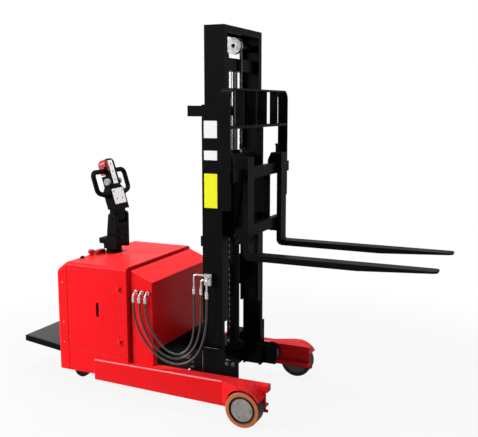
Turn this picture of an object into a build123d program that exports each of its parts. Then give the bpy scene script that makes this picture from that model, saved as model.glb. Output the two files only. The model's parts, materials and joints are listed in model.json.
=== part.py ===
"""Electric reach stacker, posed with its mast partly raised.

Millimetres, +X towards the fork tips, +Y to the operator's left, +Z up. The origin is on the
ground, under the middle of the overall length and width.
"""

import os
from math import cos, pi, radians, sin, tan

from build123d import *

os.makedirs("parts", exist_ok=True)

# Clearances
pin_fit = 0.05
slide_fit = 0.3
door_seam = 2.0
chain_gap = 3.0
pick_margin = 1.0

# Body casing
hood_length = 530.0
hood_width = 820.0
hood_top_z = 842.0
hood_bottom_z = 131.0
sheet = 4.0
slope_length = 78.0
slope_drop = 60.0
slope_blend = 45.0
bottom_blend = 22.0
edge_blend = 24.0
cover_depth = 82.0
front_wall_bottom_z = 300.0

# Side door
door_rear = 92.0
door_front_margin = 56.0
door_bottom_z = 271.0
door_top_margin = 42.0
door_return = 14.0
slot_from_rear = 312.0
slot_middle_z = 555.0
slot_length = 94.0
slot_width = 20.0
hinge_radius = 5.0
hinge_pin_radius = 3.0
hinge_standoff = 6.0
hinge_inset = 95.0
hinge_knuckle = 16.0
hinge_strap = 15.0

# Front box
box_gap = 22.0
box_length = 150.0
box_width = 770.0
box_top_step = 18.0
box_top_fall = 61.0
box_front_bottom_z = 333.0
box_edge_blend = 8.0
vent_radius = 5.0
vent_pitch_y = 95.0
vent_pitch_z = 105.0
vent_middle_z = 590.0
vent_columns = 6
vent_rows = 3

# Chassis
floor_thickness = 12.0
shelf_thickness = 6.0
rib_thickness = 12.0
rib_y = 326.0
bulkhead_thickness = 14.0
bulkhead_recess = 12.0
bulkhead_bottom_z = 60.0

# Straddle legs
leg_rear = 291.0
leg_tip = 1460.0
leg_bottom_z = 104.0
leg_plate = 12.0
leg_side_gap = 3.0
leg_width = 85.0
rail_depth = 39.0
leg_toe_z = 82.0
web_toe_z = 78.0
tip_lip = 40.0
skid_size = 14.0
leg_edge_blend = 8.0

# Load wheels and their guards
wheel_from_tip = 121.0
wheel_radius = 105.0
wheel_width = 85.0
wheel_side_gap = 6.0
tyre_chamfer = 3.0
hub_radius = 78.0
hub_face_radius = 67.0
hub_groove = 12.0
hub_proud = 2.0
axle_radius = 20.0
axle_length = 68.0
hub_bolt_radius = 6.0
hub_bolt_height = 4.0
hub_bolt_circle = 48.0
hub_bolt_angles = (6.0, 126.0, 246.0)
axle_collar_radius = 40.0
axle_collar_gap = 1.0
guard_gap = 12.0
guard_thickness = 14.0
guard_front_angle = 32.0
guard_length = 149.0
guard_flare = 120.0
guard_outer_y = 488.0

# Drive unit under the tiller
drive_from_rear = 170.0
drive_wheel_radius = 115.0
drive_wheel_width = 74.0
turntable_radius = 139.5
turntable_flange = 10.0
turntable_flange_height = 12.0
cheek_thickness = 18.0
cheek_length = 110.0
cheek_bottom_z = 70.0
bridge_height = 26.0
wheel_clearance = 6.0
motor_radius = 85.0
motor_height = 258.0
motor_round = 6.0
drive_wheel_round = 6.0

# Casters
caster_from_rear = 48.0
caster_y = 190.0
caster_trail = 28.0
caster_wheel_radius = 57.5
caster_wheel_width = 40.0
caster_pin_radius = 12.0
caster_axle_radius = 8.0
caster_plate = 12.0
caster_cheek = 6.0
caster_wheel_round = 6.0
caster_disc_radius = 33.0
caster_boss_radius = 16.0

# Platform
platform_overhang = 380.0
platform_width = 590.0
platform_bottom_z = 188.0
platform_thickness = 33.0
platform_rise = 42.0
mat_thickness = 9.0
mat_border = 14.0
mat_corner = 6.0
platform_rear_gap = 14.0
platform_corner = 12.0
platform_wall = 6.0
platform_hinge_depth = 70.0
platform_axis_back = 40.0
platform_axis_rise = 19.5
lug_y = 206.0
lug_thickness = 12.0
lug_pin_radius = 8.0
lug_pin_reach = 20.0
lug_side_gap = 4.0
lug_round = 14.0
lug_cut_length = 48.4
lug_root_length = 22.0

# Hood top controls
stop_from_rear = 106.0
stop_y = -172.0
stop_radius = 22.0
stop_round = 11.0
stop_head_height = 22.0
stop_stem_radius = 8.0
stop_collar_radius = 17.0
stop_collar_height = 12.0
stop_travel = 5.0
plug_from_rear = 114.0
plug_y = -89.0
plug_size_x = 34.0
plug_size_y = 78.0
plug_height = 26.0
plug_round = 6.0
plug_tongue_x = 17.0
plug_tongue_y = 70.0
plug_tongue = 18.0
key_from_rear = 105.0
key_y = -270.0
key_radius = 15.0
key_height = 6.0
key_bow_height = 8.0
key_stem_radius = 7.5

# Battery and hydraulics
battery_length = 205.0
battery_width = 670.0
battery_height = 470.0
battery_front_gap = 6.0
tank_length = 118.0
tank_width = 310.0
tank_height = 280.0
pump_radius = 55.0
pump_height = 230.0
pump_y = -170.0
valve_depth = 34.0
valve_height = 50.0

# Tiller
neck_radius = 52.0
column_radius = 35.0
neck_hole_gap = 5.0
steer_block_lift = 34.0
steer_foot_height = 29.0
steer_foot_reach = 28.0
steer_block_depth = 70.0
steer_block_height = 140.0
steer_block_width = 160.0
steer_shoulder_drop = 60.0
steer_shoulder_inset = 14.0
steer_throat = 24.0
steer_blend = 10.0
ear_thickness = 24.0
ear_rise = 72.0
ear_round = 22.0
rear_lug_length = 64.0
rear_lug_height = 37.0
rear_lug_lift = 4.0
tiller_axis_forward = 35.0
tiller_pin_radius = 12.0
tiller_pin_proud = 4.0
arm_thickness = 60.0
arm_rise = 63.0
arm_floor_gap = 2.0
arm_side_gap = 0.5
arm_edge_blend = 10.0
head_lean = 17.0
head_forward = 10.0
head_length = 340.0
head_width = 104.0
head_neck_width = 160.0
head_neck_length = 128.0
head_thickness = 60.0
head_round = 34.0
loop_radius = 16.0
loop_half_width = 180.0
loop_top = 262.0
loop_corner = 125.0
loop_foot = 90.0
loop_root = 5.0
loop_bend = 34.0
belly_width = 92.0
belly_length = 104.0
belly_depth = 54.0
belly_brow_length = 52.0
belly_brow_depth = 20.0
belly_parting = 4.0
belly_gap = 8.0
belly_stem_radius = 8.0
belly_stem_length = 30.0
belly_round = 30.0
throttle_radius = 24.0
throttle_wing = 22.0
throttle_shaft_radius = 8.0
throttle_height = 185.0
throttle_forward = 14.0
throttle_side_gap = 1.0
rocker_width = 34.0
rocker_length = 26.0
rocker_depth = 12.0
rocker_height = 165.0
rocker_pin_radius = 3.0
rocker_gap = 2.0

# Mast
mast_setback = 1006.0
mast_depth = 128.0
flange = 14.0
web = 12.0
outer_mast_width = 620.0
outer_mast_lip = 34.0
outer_mast_bottom_z = 90.0
outer_mast_top_z = 1828.0
inner_mast_gap = 2.0
inner_mast_lip = 46.0
inner_mast_bottom_z = 545.0
inner_mast_top_z = 2276.0
tie_wall = 8.0
top_tie_depth = 88.0
top_tie_drop = 68.0
top_tie_height = 62.0
middle_tie_depth = 12.0
middle_tie_bottom_z = 1000.0
middle_tie_height = 60.0
arch_thickness = 10.0
arch_rise = 115.0
arch_height = 200.0
arch_notch_height = 140.0
arch_notch_width = 150.0
crossbar_drop = 252.0
crossbar_height = 74.0
crown_height = 40.0
crown_wall = 8.0
inner_roller_rises = (145.0, 685.0)
roller_pin_radius = 15.0
inner_roller_width = 19.0

# Reach carriage
carriage_rear_reach = 76.0
carriage_nose_reach = 116.0
carriage_plate = 14.0
carriage_spacer = 18.0
carriage_bottom_z = 90.0
carriage_top_z = 393.0
carriage_nose_z = 333.0
carriage_nose_length = 100.0
left_nose_reach = 87.0
left_nose_rise = 7.0
beam_rise = 53.0
beam_bottom_rise = 15.0
beam_wall = 12.0
foot_width = 124.0
foot_length = 106.0
foot_bottom_z = 300.0
foot_thickness = 18.0
reach_roller_width = 34.0
reach_roller_inset_rear = 34.0
reach_roller_inset_front = 35.0
reach_tube_radius = 25.0
reach_bore_radius = 20.0
reach_rod_radius = 14.0
reach_cylinder_y = 200.0
reach_cylinder_z = 264.0
reach_tube_rear = 215.0
reach_tube_front = 695.0
reach_piston_length = 22.0
reach_piston_from_rear = 470.0
reach_gland = 20.0
reach_block = 24.0

# Lift cylinder and chain
lift_tube_radius = 31.0
lift_bore_radius = 24.0
lift_rod_radius = 20.0
lift_tube_top_z = 1555.0
lift_gland_radius = 34.0
lift_gland_height = 30.0
lift_flange_width = 90.0
lift_flange_thickness = 14.0
piston_bottom_z = 800.0
piston_height = 40.0
pulley_drop = 100.0
chain_radius = 44.0
chain_height = 14.0
chain_width = 18.0
pulley_flange_radius = 50.0
pulley_flange_thickness = 7.5
pulley_axle_radius = 12.0
pulley_carrier_radius = 24.0
pulley_side_gap = 1.0
anchor_pin_radius = 5.0
anchor_height = 30.0
rear_anchor_top_z = 390.0
front_anchor_rise = 50.0

# Lift carriage
lift_plate = 18.0
lift_plate_gap = 4.0
lift_plate_bottom_z = 1050.0
lift_plate_height = 490.0
lift_plate_front = 81.0
lift_plate_rear_inset = 34.0
lift_plate_foot = 15.0
lift_plate_shoulder = 20.0
lift_plate_shoulder_rise = 40.0
lift_cross_thickness = 15.0
lift_cross_gap = 6.0
lift_cross_height = 100.0
lift_roller_rise = 80.0
lift_roller_drop = 60.0
lift_roller_width = 28.0
chain_lug_height = 30.0
tilt_axis_forward = 61.0
tilt_axis_rise = 330.0
tilt_shaft_radius = 18.0
tilt_cylinder_y = 120.0
tilt_cylinder_rise = 40.0
tilt_tube_radius = 22.0
tilt_bore_radius = 16.0
tilt_rod_radius = 12.0
tilt_tube_length = 135.0
tilt_piston_length = 15.0
tilt_piston_back = 70.0
tilt_gland = 14.0
tilt_flange_radius = 32.0
tilt_flange_thickness = 10.0
tilt_pin_radius = 9.0
tilt_pin_back = 22.0
tilt_pin_slack = 0.5
tilt_pin_rise = 4.0
clevis_thickness = 8.0
clevis_gap = 1.0
clevis_margin = 9.0

# Fork frame, backrest and forks
bar_standoff = 93.0
bar_thickness = 39.0
bar_height = 65.0
bar_width = 864.0
upper_bar_rise = 350.0
lower_bar_rise = 8.0
upright_thickness = 18.0
upright_gap = 2.0
upright_rear = 34.0
upright_leg_depth = 37.0
upright_boss_drop = 50.0
upright_boss_slope = 15.0
upright_top_rise = 15.0
backrest_depth = 64.0
backrest_front_inset = 16.0
backrest_bar = 12.0
backrest_drop = 160.0
backrest_height = 677.0
backrest_corner = 60.0
backrest_rail_drop = 224.0
backrest_rail_height = 16.0
slat_depth = 50.0
slat_thickness = 10.0
slat_places = (82.0, 257.0)
fork_y = 262.0
fork_width = 90.0
fork_length = 1070.0
fork_thickness = 35.0
fork_drop = 86.0
fork_tip_thickness = 10.0
fork_taper = 430.0
fork_tip_round = 26.0
shank_thickness = 30.0
heel_radius = 40.0
heel_inner_radius = 10.0
hook_rise = 65.0
hook_lip = 24.0
hook_lip_drop = 26.0
hook_slope = 22.0
hook_slope_height = 48.0
lower_hook_drop = 28.0
lower_hook_reach = 51.0
lock_pin_radius = 8.0
lock_pin_height = 50.0
lock_handle_radius = 5.0
lock_handle_length = 44.0

# Hydraulic hoses
hose_radius = 7.0
pipe_radius = 6.0
sleeve_radius = 10.0
nut_radius = 12.0
nut_length = 12.0
outlet_insets = (38.0, 79.0, 120.0)
outlet_drop = 67.0
outlet_reach = 40.0
pipe_bend = 18.0
outlet_sleeve_drop = 24.0
outlet_sleeve_length = 32.0
manifold_inset = 24.0
manifold_length = 48.0
manifold_depth = 30.0
manifold_bottom_z = 772.0
manifold_height = 70.0
mast_sleeve_length = 38.0
mast_sleeve_drop = 64.0
outer_sleeve_drop = 72.0
pipe_reach = 18.0
outer_pipe_reach = 32.0
outer_pipe_forward = 32.0
outer_pipe_rise = 48.0
middle_pipe_back = 27.0
middle_pipe_rise = 28.0
inner_pipe_back = 75.0
inner_pipe_rise = 56.0

# Stations along the length, from the middle of the whole machine
mast_front = mast_setback + mast_depth
bar_rear = mast_front + bar_standoff
bar_front = bar_rear + bar_thickness
fork_rear = bar_front + slide_fit
fork_face = fork_rear + shank_thickness
rear_x = (platform_overhang - fork_face - fork_length) / 2
hood_front_x = rear_x + hood_length
cover_x = rear_x + cover_depth
box_rear_x = hood_front_x + box_gap
box_front_x = box_rear_x + box_length
drive_x = rear_x + drive_from_rear
leg_rear_x = rear_x + leg_rear
leg_tip_x = rear_x + leg_tip
wheel_x = leg_tip_x - wheel_from_tip
guard_rear_x = wheel_x - guard_length
mast_rear_x = rear_x + mast_setback
mast_front_x = rear_x + mast_front
mast_mid_x = (mast_rear_x + mast_front_x) / 2
bar_rear_x = rear_x + bar_rear
bar_front_x = rear_x + bar_front
fork_rear_x = rear_x + fork_rear
fork_face_x = rear_x + fork_face
fork_tip_x = fork_face_x + fork_length

# Heights and half widths that several pieces share
door_front = hood_length - door_front_margin
door_top_z = hood_top_z - door_top_margin
hinge_heights = (door_bottom_z + hinge_inset, door_top_z - hinge_inset)
box_rear_top_z = hood_top_z - box_top_step
box_front_top_z = box_rear_top_z - box_top_fall
outlet_z = box_front_top_z - outlet_drop
outlet_sleeve_top_z = outlet_z - outlet_sleeve_drop
outlet_sleeve_bottom_z = outlet_sleeve_top_z - outlet_sleeve_length
mast_sleeve_z = manifold_bottom_z - mast_sleeve_drop
outer_sleeve_z = manifold_bottom_z - outer_sleeve_drop
steer_foot_z = hood_top_z + steer_block_lift
steer_block_bottom_z = steer_foot_z + steer_foot_height
ear_floor_z = steer_block_bottom_z + steer_block_height
ear_top_z = ear_floor_z + ear_rise
tiller_axis_z = ear_floor_z + arm_floor_gap + arm_thickness / 2
arm_top_z = tiller_axis_z + arm_rise
arch_radius = wheel_radius + guard_gap
guard_radius = arch_radius + guard_thickness
leg_top_z = wheel_radius + guard_radius
floor_top_z = hood_bottom_z + floor_thickness
half_hood = hood_width / 2
half_box = box_width / 2
inside_y = half_hood - sheet - slide_fit
half_outer_mast = outer_mast_width / 2
carriage_inner_y = half_outer_mast + carriage_spacer
carriage_outer_y = carriage_inner_y + carriage_plate
leg_inner_y = carriage_outer_y + leg_side_gap
leg_outer_y = leg_inner_y + leg_width
rail_web_y = leg_inner_y + rail_depth
web_outer_y = rail_web_y + leg_plate
rail_bottom_z = leg_bottom_z + leg_plate
rail_top_z = leg_top_z - leg_plate
rail_roller_radius = (rail_top_z - rail_bottom_z) / 2 - slide_fit
rail_roller_z = (rail_top_z + rail_bottom_z) / 2
wheel_inner_y = web_outer_y + wheel_side_gap
wheel_outer_y = wheel_inner_y + wheel_width
outer_lip_y = half_outer_mast - outer_mast_lip
outer_web_y = half_outer_mast - web
half_inner_mast = outer_lip_y - inner_mast_gap
inner_lip_y = half_inner_mast - inner_mast_lip
inner_web_y = half_inner_mast - web
mast_roller_radius = mast_depth / 2 - flange - slide_fit
beam_rear_x = mast_rear_x - carriage_rear_reach
foot_top_z = foot_bottom_z + foot_thickness
beam_bottom_z = carriage_bottom_z + beam_bottom_rise
beam_top_z = reach_cylinder_z + beam_rise
top_tie_bottom_z = outer_mast_top_z - top_tie_drop
arch_bottom_z = inner_mast_bottom_z + arch_rise
inner_roller_heights = tuple(inner_mast_bottom_z + rise for rise in inner_roller_rises)
crossbar_bottom_z = inner_mast_top_z - crossbar_drop
pulley_z = inner_mast_top_z - pulley_drop
lift_plate_top_z = lift_plate_bottom_z + lift_plate_height
lift_roller_heights = (lift_plate_bottom_z + lift_roller_rise, lift_plate_top_z - lift_roller_drop)
front_anchor_top_z = lift_plate_top_z + front_anchor_rise
tilt_axis_z = lift_plate_bottom_z + tilt_axis_rise
tilt_cylinder_z = lift_plate_bottom_z + tilt_cylinder_rise
upper_bar_bottom_z = lift_plate_bottom_z + upper_bar_rise
lower_bar_bottom_z = lift_plate_bottom_z + lower_bar_rise
lift_plate_outer_y = inner_lip_y - lift_plate_gap
lift_plate_inner_y = lift_plate_outer_y - lift_plate
tilt_axis_x = mast_front_x + tilt_axis_forward
upright_outer_y = lift_plate_inner_y - upright_gap
upright_inner_y = upright_outer_y - upright_thickness
upper_bar_top_z = upper_bar_bottom_z + bar_height
lower_bar_top_z = lower_bar_bottom_z + bar_height
half_bar = bar_width / 2
upright_top_z = upper_bar_bottom_z + upright_top_rise
backrest_bottom_z = upper_bar_bottom_z - backrest_drop
backrest_top_z = backrest_bottom_z + backrest_height
backrest_rail_z = backrest_top_z - backrest_rail_drop
fork_top_z = lower_bar_bottom_z - fork_drop
hook_top_z = upper_bar_top_z + hook_rise
tilt_pin_x = bar_rear_x - tilt_pin_back
battery_z = front_wall_bottom_z + shelf_thickness
hydraulic_shelf_z = box_front_bottom_z
bulkhead_front_x = box_front_x - bulkhead_recess
motor_z = 2 * drive_wheel_radius + wheel_clearance + bridge_height
motor_top_z = motor_z + motor_height
tiller_x = drive_x + tiller_axis_forward
platform_axis_x = rear_x - platform_axis_back
platform_top_z = platform_bottom_z + platform_thickness
platform_axis_z = platform_bottom_z + platform_axis_rise
platform_rear_x = rear_x - platform_overhang
platform_front_x = rear_x - platform_rear_gap
platform_slope = platform_rise / (platform_front_x - platform_rear_x)


def block(x_span, y_span, z_span, mode=Mode.ADD):
    """Add or cut a box that fills three spans."""
    spans = (x_span, y_span, z_span)
    middle = [(span[0] + span[1]) / 2 for span in spans]
    size = [abs(span[1] - span[0]) for span in spans]
    with Locations(tuple(middle)):
        Box(*size, mode=mode)


def bar_x(radius, x_span, y, z, mode=Mode.ADD):
    """Add or cut a round bar along X."""
    with Locations(Location(((x_span[0] + x_span[1]) / 2, y, z), (0, 90, 0))):
        Cylinder(radius, abs(x_span[1] - x_span[0]), mode=mode)


def bar_y(radius, x, y_span, z, mode=Mode.ADD):
    """Add or cut a round bar along Y."""
    with Locations(Location((x, (y_span[0] + y_span[1]) / 2, z), (90, 0, 0))):
        Cylinder(radius, abs(y_span[1] - y_span[0]), mode=mode)


def bar_z(radius, x, y, z_span, mode=Mode.ADD):
    """Add or cut a round bar along Z."""
    with Locations((x, y, (z_span[0] + z_span[1]) / 2)):
        Cylinder(radius, abs(z_span[1] - z_span[0]), mode=mode)


def slab(points, y_span, mode=Mode.ADD):
    """Add or cut a plate whose outline lies in X and Z, between two values of Y."""
    with BuildSketch(Plane.XZ.offset(-y_span[0])) as outline:
        with BuildLine():
            Polyline(*points, close=True)
        make_face()
    extrude(to_extrude=outline.sketch, amount=y_span[0] - y_span[1], mode=mode)


def climbing_slab(x_span, y_span, low, high, mode=Mode.ADD):
    """Add or cut a plate that climbs to the rear with the platform, between two heights at its front."""
    climb = [platform_slope * (platform_front_x - x) for x in x_span]
    outline = [
        (x_span[0], low + climb[0]),
        (x_span[1], low + climb[1]),
        (x_span[1], high + climb[1]),
        (x_span[0], high + climb[0]),
    ]
    slab(outline, y_span, mode)


def corner(sketch, x, z):
    """The corner of an upright sketch at one place."""
    return sketch.vertices().filter_by(
        lambda v: abs(v.X - x) < pick_margin and abs(v.Y - z) < pick_margin
    )


def save(piece, name):
    """Label a finished piece and write it under its own name."""
    piece.part.label = name
    export_step(piece.part, f"parts/{name}.step")


def casing_form(inset):
    """The closed body of the hood and rear cover, all faces moved in by the inset."""
    with BuildPart() as form:
        with BuildSketch(Plane.XZ) as outline:
            with BuildLine():
                Polyline(
                    (rear_x, hood_bottom_z),
                    (rear_x, hood_top_z - slope_drop),
                    (rear_x + slope_length, hood_top_z),
                    (hood_front_x, hood_top_z),
                    (hood_front_x, hood_bottom_z),
                    close=True,
                )
            make_face()
            slope_ends = outline.vertices().filter_by(
                lambda v: v.Y > hood_top_z - slope_drop - pick_margin and v.X < hood_front_x - pick_margin
            )
            fillet(slope_ends, radius=slope_blend)
            if inset:
                offset(amount=-inset, kind=Kind.INTERSECTION)
        extrude(amount=half_hood - inset, both=True)
        rim = form.faces().filter_by(Axis.Y).edges()
        rim = rim.filter_by(lambda e: e.center().Z > hood_bottom_z + inset + pick_margin)
        rim = rim.filter_by(lambda e: e.center().X < hood_front_x - inset - pick_margin)
        fillet(rim, radius=edge_blend - inset)
        with BuildSketch(Plane.XZ):
            with BuildLine():
                curl_centre = (rear_x + bottom_blend, hood_bottom_z + bottom_blend)
                curl = CenterArc(curl_centre, bottom_blend - inset, 180, 90)
                Polyline(curl @ 0, (rear_x + inset, hood_bottom_z + inset), curl @ 1)
            make_face()
        extrude(amount=half_hood, both=True, mode=Mode.SUBTRACT)
    return form.part


casing_outside = casing_form(0)
casing_inside = casing_form(sheet)

# Hood: top, sides and front wall in folded sheet
key_x = rear_x + key_from_rear
stop_x = rear_x + stop_from_rear
plug_x = rear_x + plug_from_rear
hinge_x = rear_x + door_front + door_seam + sheet / 2
hinge_y = -half_hood - hinge_standoff
with BuildPart() as hood:
    add(casing_outside)
    add(casing_inside, mode=Mode.SUBTRACT)
    block((rear_x, cover_x), (-half_hood, half_hood), (0, hood_top_z), mode=Mode.SUBTRACT)
    opening_x = hood_front_x - sheet
    opening_y = half_hood - sheet
    block((cover_x, opening_x), (-opening_y, opening_y), (0, rail_top_z), mode=Mode.SUBTRACT)
    wall_cut = (-leg_inner_y, leg_inner_y)
    block((opening_x, hood_front_x), wall_cut, (0, front_wall_bottom_z), mode=Mode.SUBTRACT)
    for side in (-1, 1):
        notch_y = (side * leg_inner_y, side * half_hood)
        notch_z = (0, leg_top_z + slide_fit)
        block((leg_rear_x - slide_fit, hood_front_x), notch_y, notch_z, mode=Mode.SUBTRACT)
    door_x = (rear_x + door_rear - door_seam, rear_x + door_front + door_seam)
    door_z = (door_bottom_z - door_seam, door_top_z + door_seam)
    block(door_x, (-half_hood, -opening_y), door_z, mode=Mode.SUBTRACT)
    neck_hole = neck_radius + neck_hole_gap
    bar_z(neck_hole, drive_x, 0, (hood_top_z - sheet, hood_top_z), mode=Mode.SUBTRACT)
    collar_top_z = hood_top_z + stop_collar_height
    bar_z(stop_collar_radius, stop_x, stop_y, (hood_top_z - sheet, collar_top_z))
    stop_bore = stop_stem_radius + pin_fit
    bar_z(stop_bore, stop_x, stop_y, (hood_top_z - sheet, collar_top_z), mode=Mode.SUBTRACT)
    slot_x = plug_tongue_x / 2 + slide_fit
    slot_y = plug_tongue_y / 2 + slide_fit
    plug_slot_x = (plug_x - slot_x, plug_x + slot_x)
    plug_slot_y = (plug_y - slot_y, plug_y + slot_y)
    block(plug_slot_x, plug_slot_y, (hood_top_z - sheet, hood_top_z), mode=Mode.SUBTRACT)
    key_bore = key_stem_radius + pin_fit
    bar_z(key_bore, key_x, key_y, (hood_top_z - sheet, hood_top_z), mode=Mode.SUBTRACT)
    for height in hinge_heights:
        for end in (-1, 1):
            ear = (height + end * hinge_knuckle / 2, height + end * hinge_knuckle)
            bar_z(hinge_radius, hinge_x, hinge_y, ear)
            block((hinge_x, hinge_x + hinge_strap), (hinge_y, -half_hood), ear)
        pin_span = (height - hinge_knuckle, height + hinge_knuckle)
        bar_z(hinge_pin_radius, hinge_x, hinge_y, pin_span)
save(hood, "hood")

# Rear cover, with slots for the platform's hinge lugs
with BuildPart() as rear_cover:
    add(casing_outside)
    add(casing_inside, mode=Mode.SUBTRACT)
    block((cover_x, hood_front_x), (-half_hood, half_hood), (0, hood_top_z), mode=Mode.SUBTRACT)
    inner_floor = (0, hood_bottom_z + sheet)
    block((rear_x + bottom_blend, cover_x), (-opening_y, opening_y), inner_floor, mode=Mode.SUBTRACT)
    for side in (-1, 1):
        lug_gap = lug_thickness / 2 + slide_fit
        lug_slot_y = (side * lug_y - lug_gap, side * lug_y + lug_gap)
        lug_half = lug_round + slide_fit
        lug_slot_z = (platform_axis_z - lug_half, platform_axis_z + lug_half)
        block((rear_x, rear_x + sheet), lug_slot_y, lug_slot_z, mode=Mode.SUBTRACT)
save(rear_cover, "rear_cover")

# Side door with a folded return, a finger slot and two knuckles
with BuildPart() as side_door:
    door_span_x = (rear_x + door_rear, rear_x + door_front)
    door_span_z = (door_bottom_z, door_top_z)
    block(door_span_x, (-half_hood, -half_hood + door_return), door_span_z)
    pan_x = (door_span_x[0] + sheet, door_span_x[1] - sheet)
    pan_y = (-half_hood + sheet, -half_hood + door_return)
    pan_z = (door_bottom_z + sheet, door_top_z - sheet)
    block(pan_x, pan_y, pan_z, mode=Mode.SUBTRACT)
    with BuildSketch(Plane.XZ.offset(half_hood)):
        with Locations((rear_x + slot_from_rear, slot_middle_z)):
            SlotOverall(slot_length, slot_width, rotation=90)
    extrude(amount=-sheet, mode=Mode.SUBTRACT)
    for height in hinge_heights:
        knuckle_z = (height - hinge_knuckle / 2 + slide_fit, height + hinge_knuckle / 2 - slide_fit)
        bar_z(hinge_radius, hinge_x, hinge_y, knuckle_z)
        strap_y = (hinge_y, -half_hood - slide_fit)
        block((door_span_x[1] - hinge_strap, hinge_x), strap_y, knuckle_z)
        strap_root = (door_span_x[1] - hinge_strap, door_span_x[1])
        block(strap_root, (hinge_y, -half_hood), knuckle_z)
        bar_z(hinge_pin_radius + pin_fit, hinge_x, hinge_y, knuckle_z, mode=Mode.SUBTRACT)
save(side_door, "side_door")

# Front box: sheet cover with a sloping top, holes in its face, standing on the legs
outlet_x = [box_rear_x + inset for inset in outlet_insets]
with BuildPart() as front_box:
    box_base_z = leg_top_z + slide_fit
    box_outline = [
        (box_rear_x, box_base_z),
        (box_rear_x, box_rear_top_z),
        (box_front_x, box_front_top_z),
        (box_front_x, box_base_z),
    ]
    slab(box_outline, (-half_box, half_box))
    outer_edges = front_box.faces().filter_by(Axis.Y).edges()
    outer_edges = outer_edges.filter_by(lambda e: e.center().Z > box_base_z + pick_margin)
    outer_edges = outer_edges.filter_by(lambda e: e.center().X > box_rear_x + pick_margin)
    fillet(outer_edges, radius=box_edge_blend)
    top_fall = (box_rear_top_z - box_front_top_z) / box_length
    top_sheet = sheet * (1 + top_fall**2) ** 0.5
    core_outline = [
        (box_rear_x + sheet, box_base_z),
        (box_rear_x + sheet, box_rear_top_z - top_fall * sheet - top_sheet),
        (box_front_x - sheet, box_front_top_z + top_fall * sheet - top_sheet),
        (box_front_x - sheet, box_base_z),
    ]
    slab(core_outline, (-half_box + sheet, half_box - sheet), mode=Mode.SUBTRACT)
    face_x = (box_front_x - sheet, box_front_x)
    mouth_y = (-leg_inner_y, leg_inner_y)
    block(face_x, mouth_y, (box_base_z, box_front_bottom_z), mode=Mode.SUBTRACT)
    block((box_rear_x, box_rear_x + sheet), mouth_y, (box_base_z, battery_z), mode=Mode.SUBTRACT)
    with Locations(Plane.YZ.offset(box_front_x)):
        with Locations((0, vent_middle_z)):
            with GridLocations(vent_pitch_y, vent_pitch_z, vent_columns, vent_rows):
                Cylinder(vent_radius, 2 * sheet, mode=Mode.SUBTRACT)
    for x in outlet_x:
        bore = pipe_radius + pin_fit
        bar_y(bore, x, (-half_box, -half_box + sheet), outlet_z, mode=Mode.SUBTRACT)
save(front_box, "front_box")

# Chassis: floor between the legs, bulkhead, shelves and the platform's hinge lugs
caster_x = rear_x + caster_from_rear
shelf_rear_x = hood_front_x - sheet - battery_front_gap - battery_length
tube_rear_x = rear_x + reach_tube_rear
with BuildPart() as chassis_frame:
    floor_z = (hood_bottom_z, floor_top_z)
    floor_rear_x = rear_x + bottom_blend + slide_fit
    block((floor_rear_x, leg_rear_x), (-inside_y, inside_y), floor_z)
    block((leg_rear_x, leg_rear_x + leg_plate), (-leg_inner_y, leg_inner_y), floor_z)
    deck_end_x = bulkhead_front_x
    block((leg_rear_x + leg_plate, deck_end_x), (-rail_web_y, rail_web_y), floor_z)
    hole_radius = turntable_radius + slide_fit
    bar_z(hole_radius, drive_x, 0, floor_z, mode=Mode.SUBTRACT)
    bulkhead_x = (bulkhead_front_x - bulkhead_thickness, bulkhead_front_x)
    shelf_under_z = hydraulic_shelf_z - shelf_thickness
    block(bulkhead_x, (-leg_inner_y, leg_inner_y), (bulkhead_bottom_z, shelf_under_z))
    hydraulic_shelf_x = (box_rear_x + sheet + slide_fit, bulkhead_front_x)
    hydraulic_shelf_y = (-half_box + sheet + slide_fit, half_box - sheet - slide_fit)
    block(hydraulic_shelf_x, hydraulic_shelf_y, (shelf_under_z, hydraulic_shelf_z))
    shelf_x = (shelf_rear_x, hood_front_x - sheet - slide_fit)
    shelf_y = rib_y + rib_thickness / 2
    block(shelf_x, (-shelf_y, shelf_y), (front_wall_bottom_z, battery_z))
    for side in (-1, 1):
        rib_span = (side * (rib_y - rib_thickness / 2), side * shelf_y)
        block(shelf_x, rib_span, (floor_top_z, front_wall_bottom_z))
        post_x = (box_rear_x + sheet + slide_fit, box_rear_x + sheet + slide_fit + rib_thickness)
        block(post_x, rib_span, (floor_top_z, shelf_under_z))
        lug_span = (side * lug_y - lug_thickness / 2, side * lug_y + lug_thickness / 2)
        lug_end_x = floor_rear_x + lug_root_length
        lug_top_z = platform_axis_z + lug_round
        block((platform_axis_x, lug_end_x), lug_span, (platform_axis_z - lug_round, lug_top_z))
        block((floor_rear_x, lug_end_x), lug_span, (hood_bottom_z, lug_top_z))
        bar_y(lug_round, platform_axis_x, lug_span, platform_axis_z)
        pin_y = (lug_span[0] - lug_pin_reach, lug_span[1] + lug_pin_reach)
        bar_y(lug_pin_radius, platform_axis_x, pin_y, platform_axis_z)
        bar_z(caster_pin_radius + pin_fit, caster_x, side * caster_y, floor_z, mode=Mode.SUBTRACT)
        cylinder_y = side * reach_cylinder_y
        sleeve_gap = reach_tube_radius + slide_fit
        bar_x(sleeve_gap, bulkhead_x, cylinder_y, reach_cylinder_z, mode=Mode.SUBTRACT)
        anchor_x = (tube_rear_x - reach_block, tube_rear_x)
        anchor_y = (cylinder_y - reach_tube_radius, cylinder_y + reach_tube_radius)
        block(anchor_x, anchor_y, (floor_top_z, reach_cylinder_z + reach_tube_radius))
save(chassis_frame, "chassis_frame")


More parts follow.
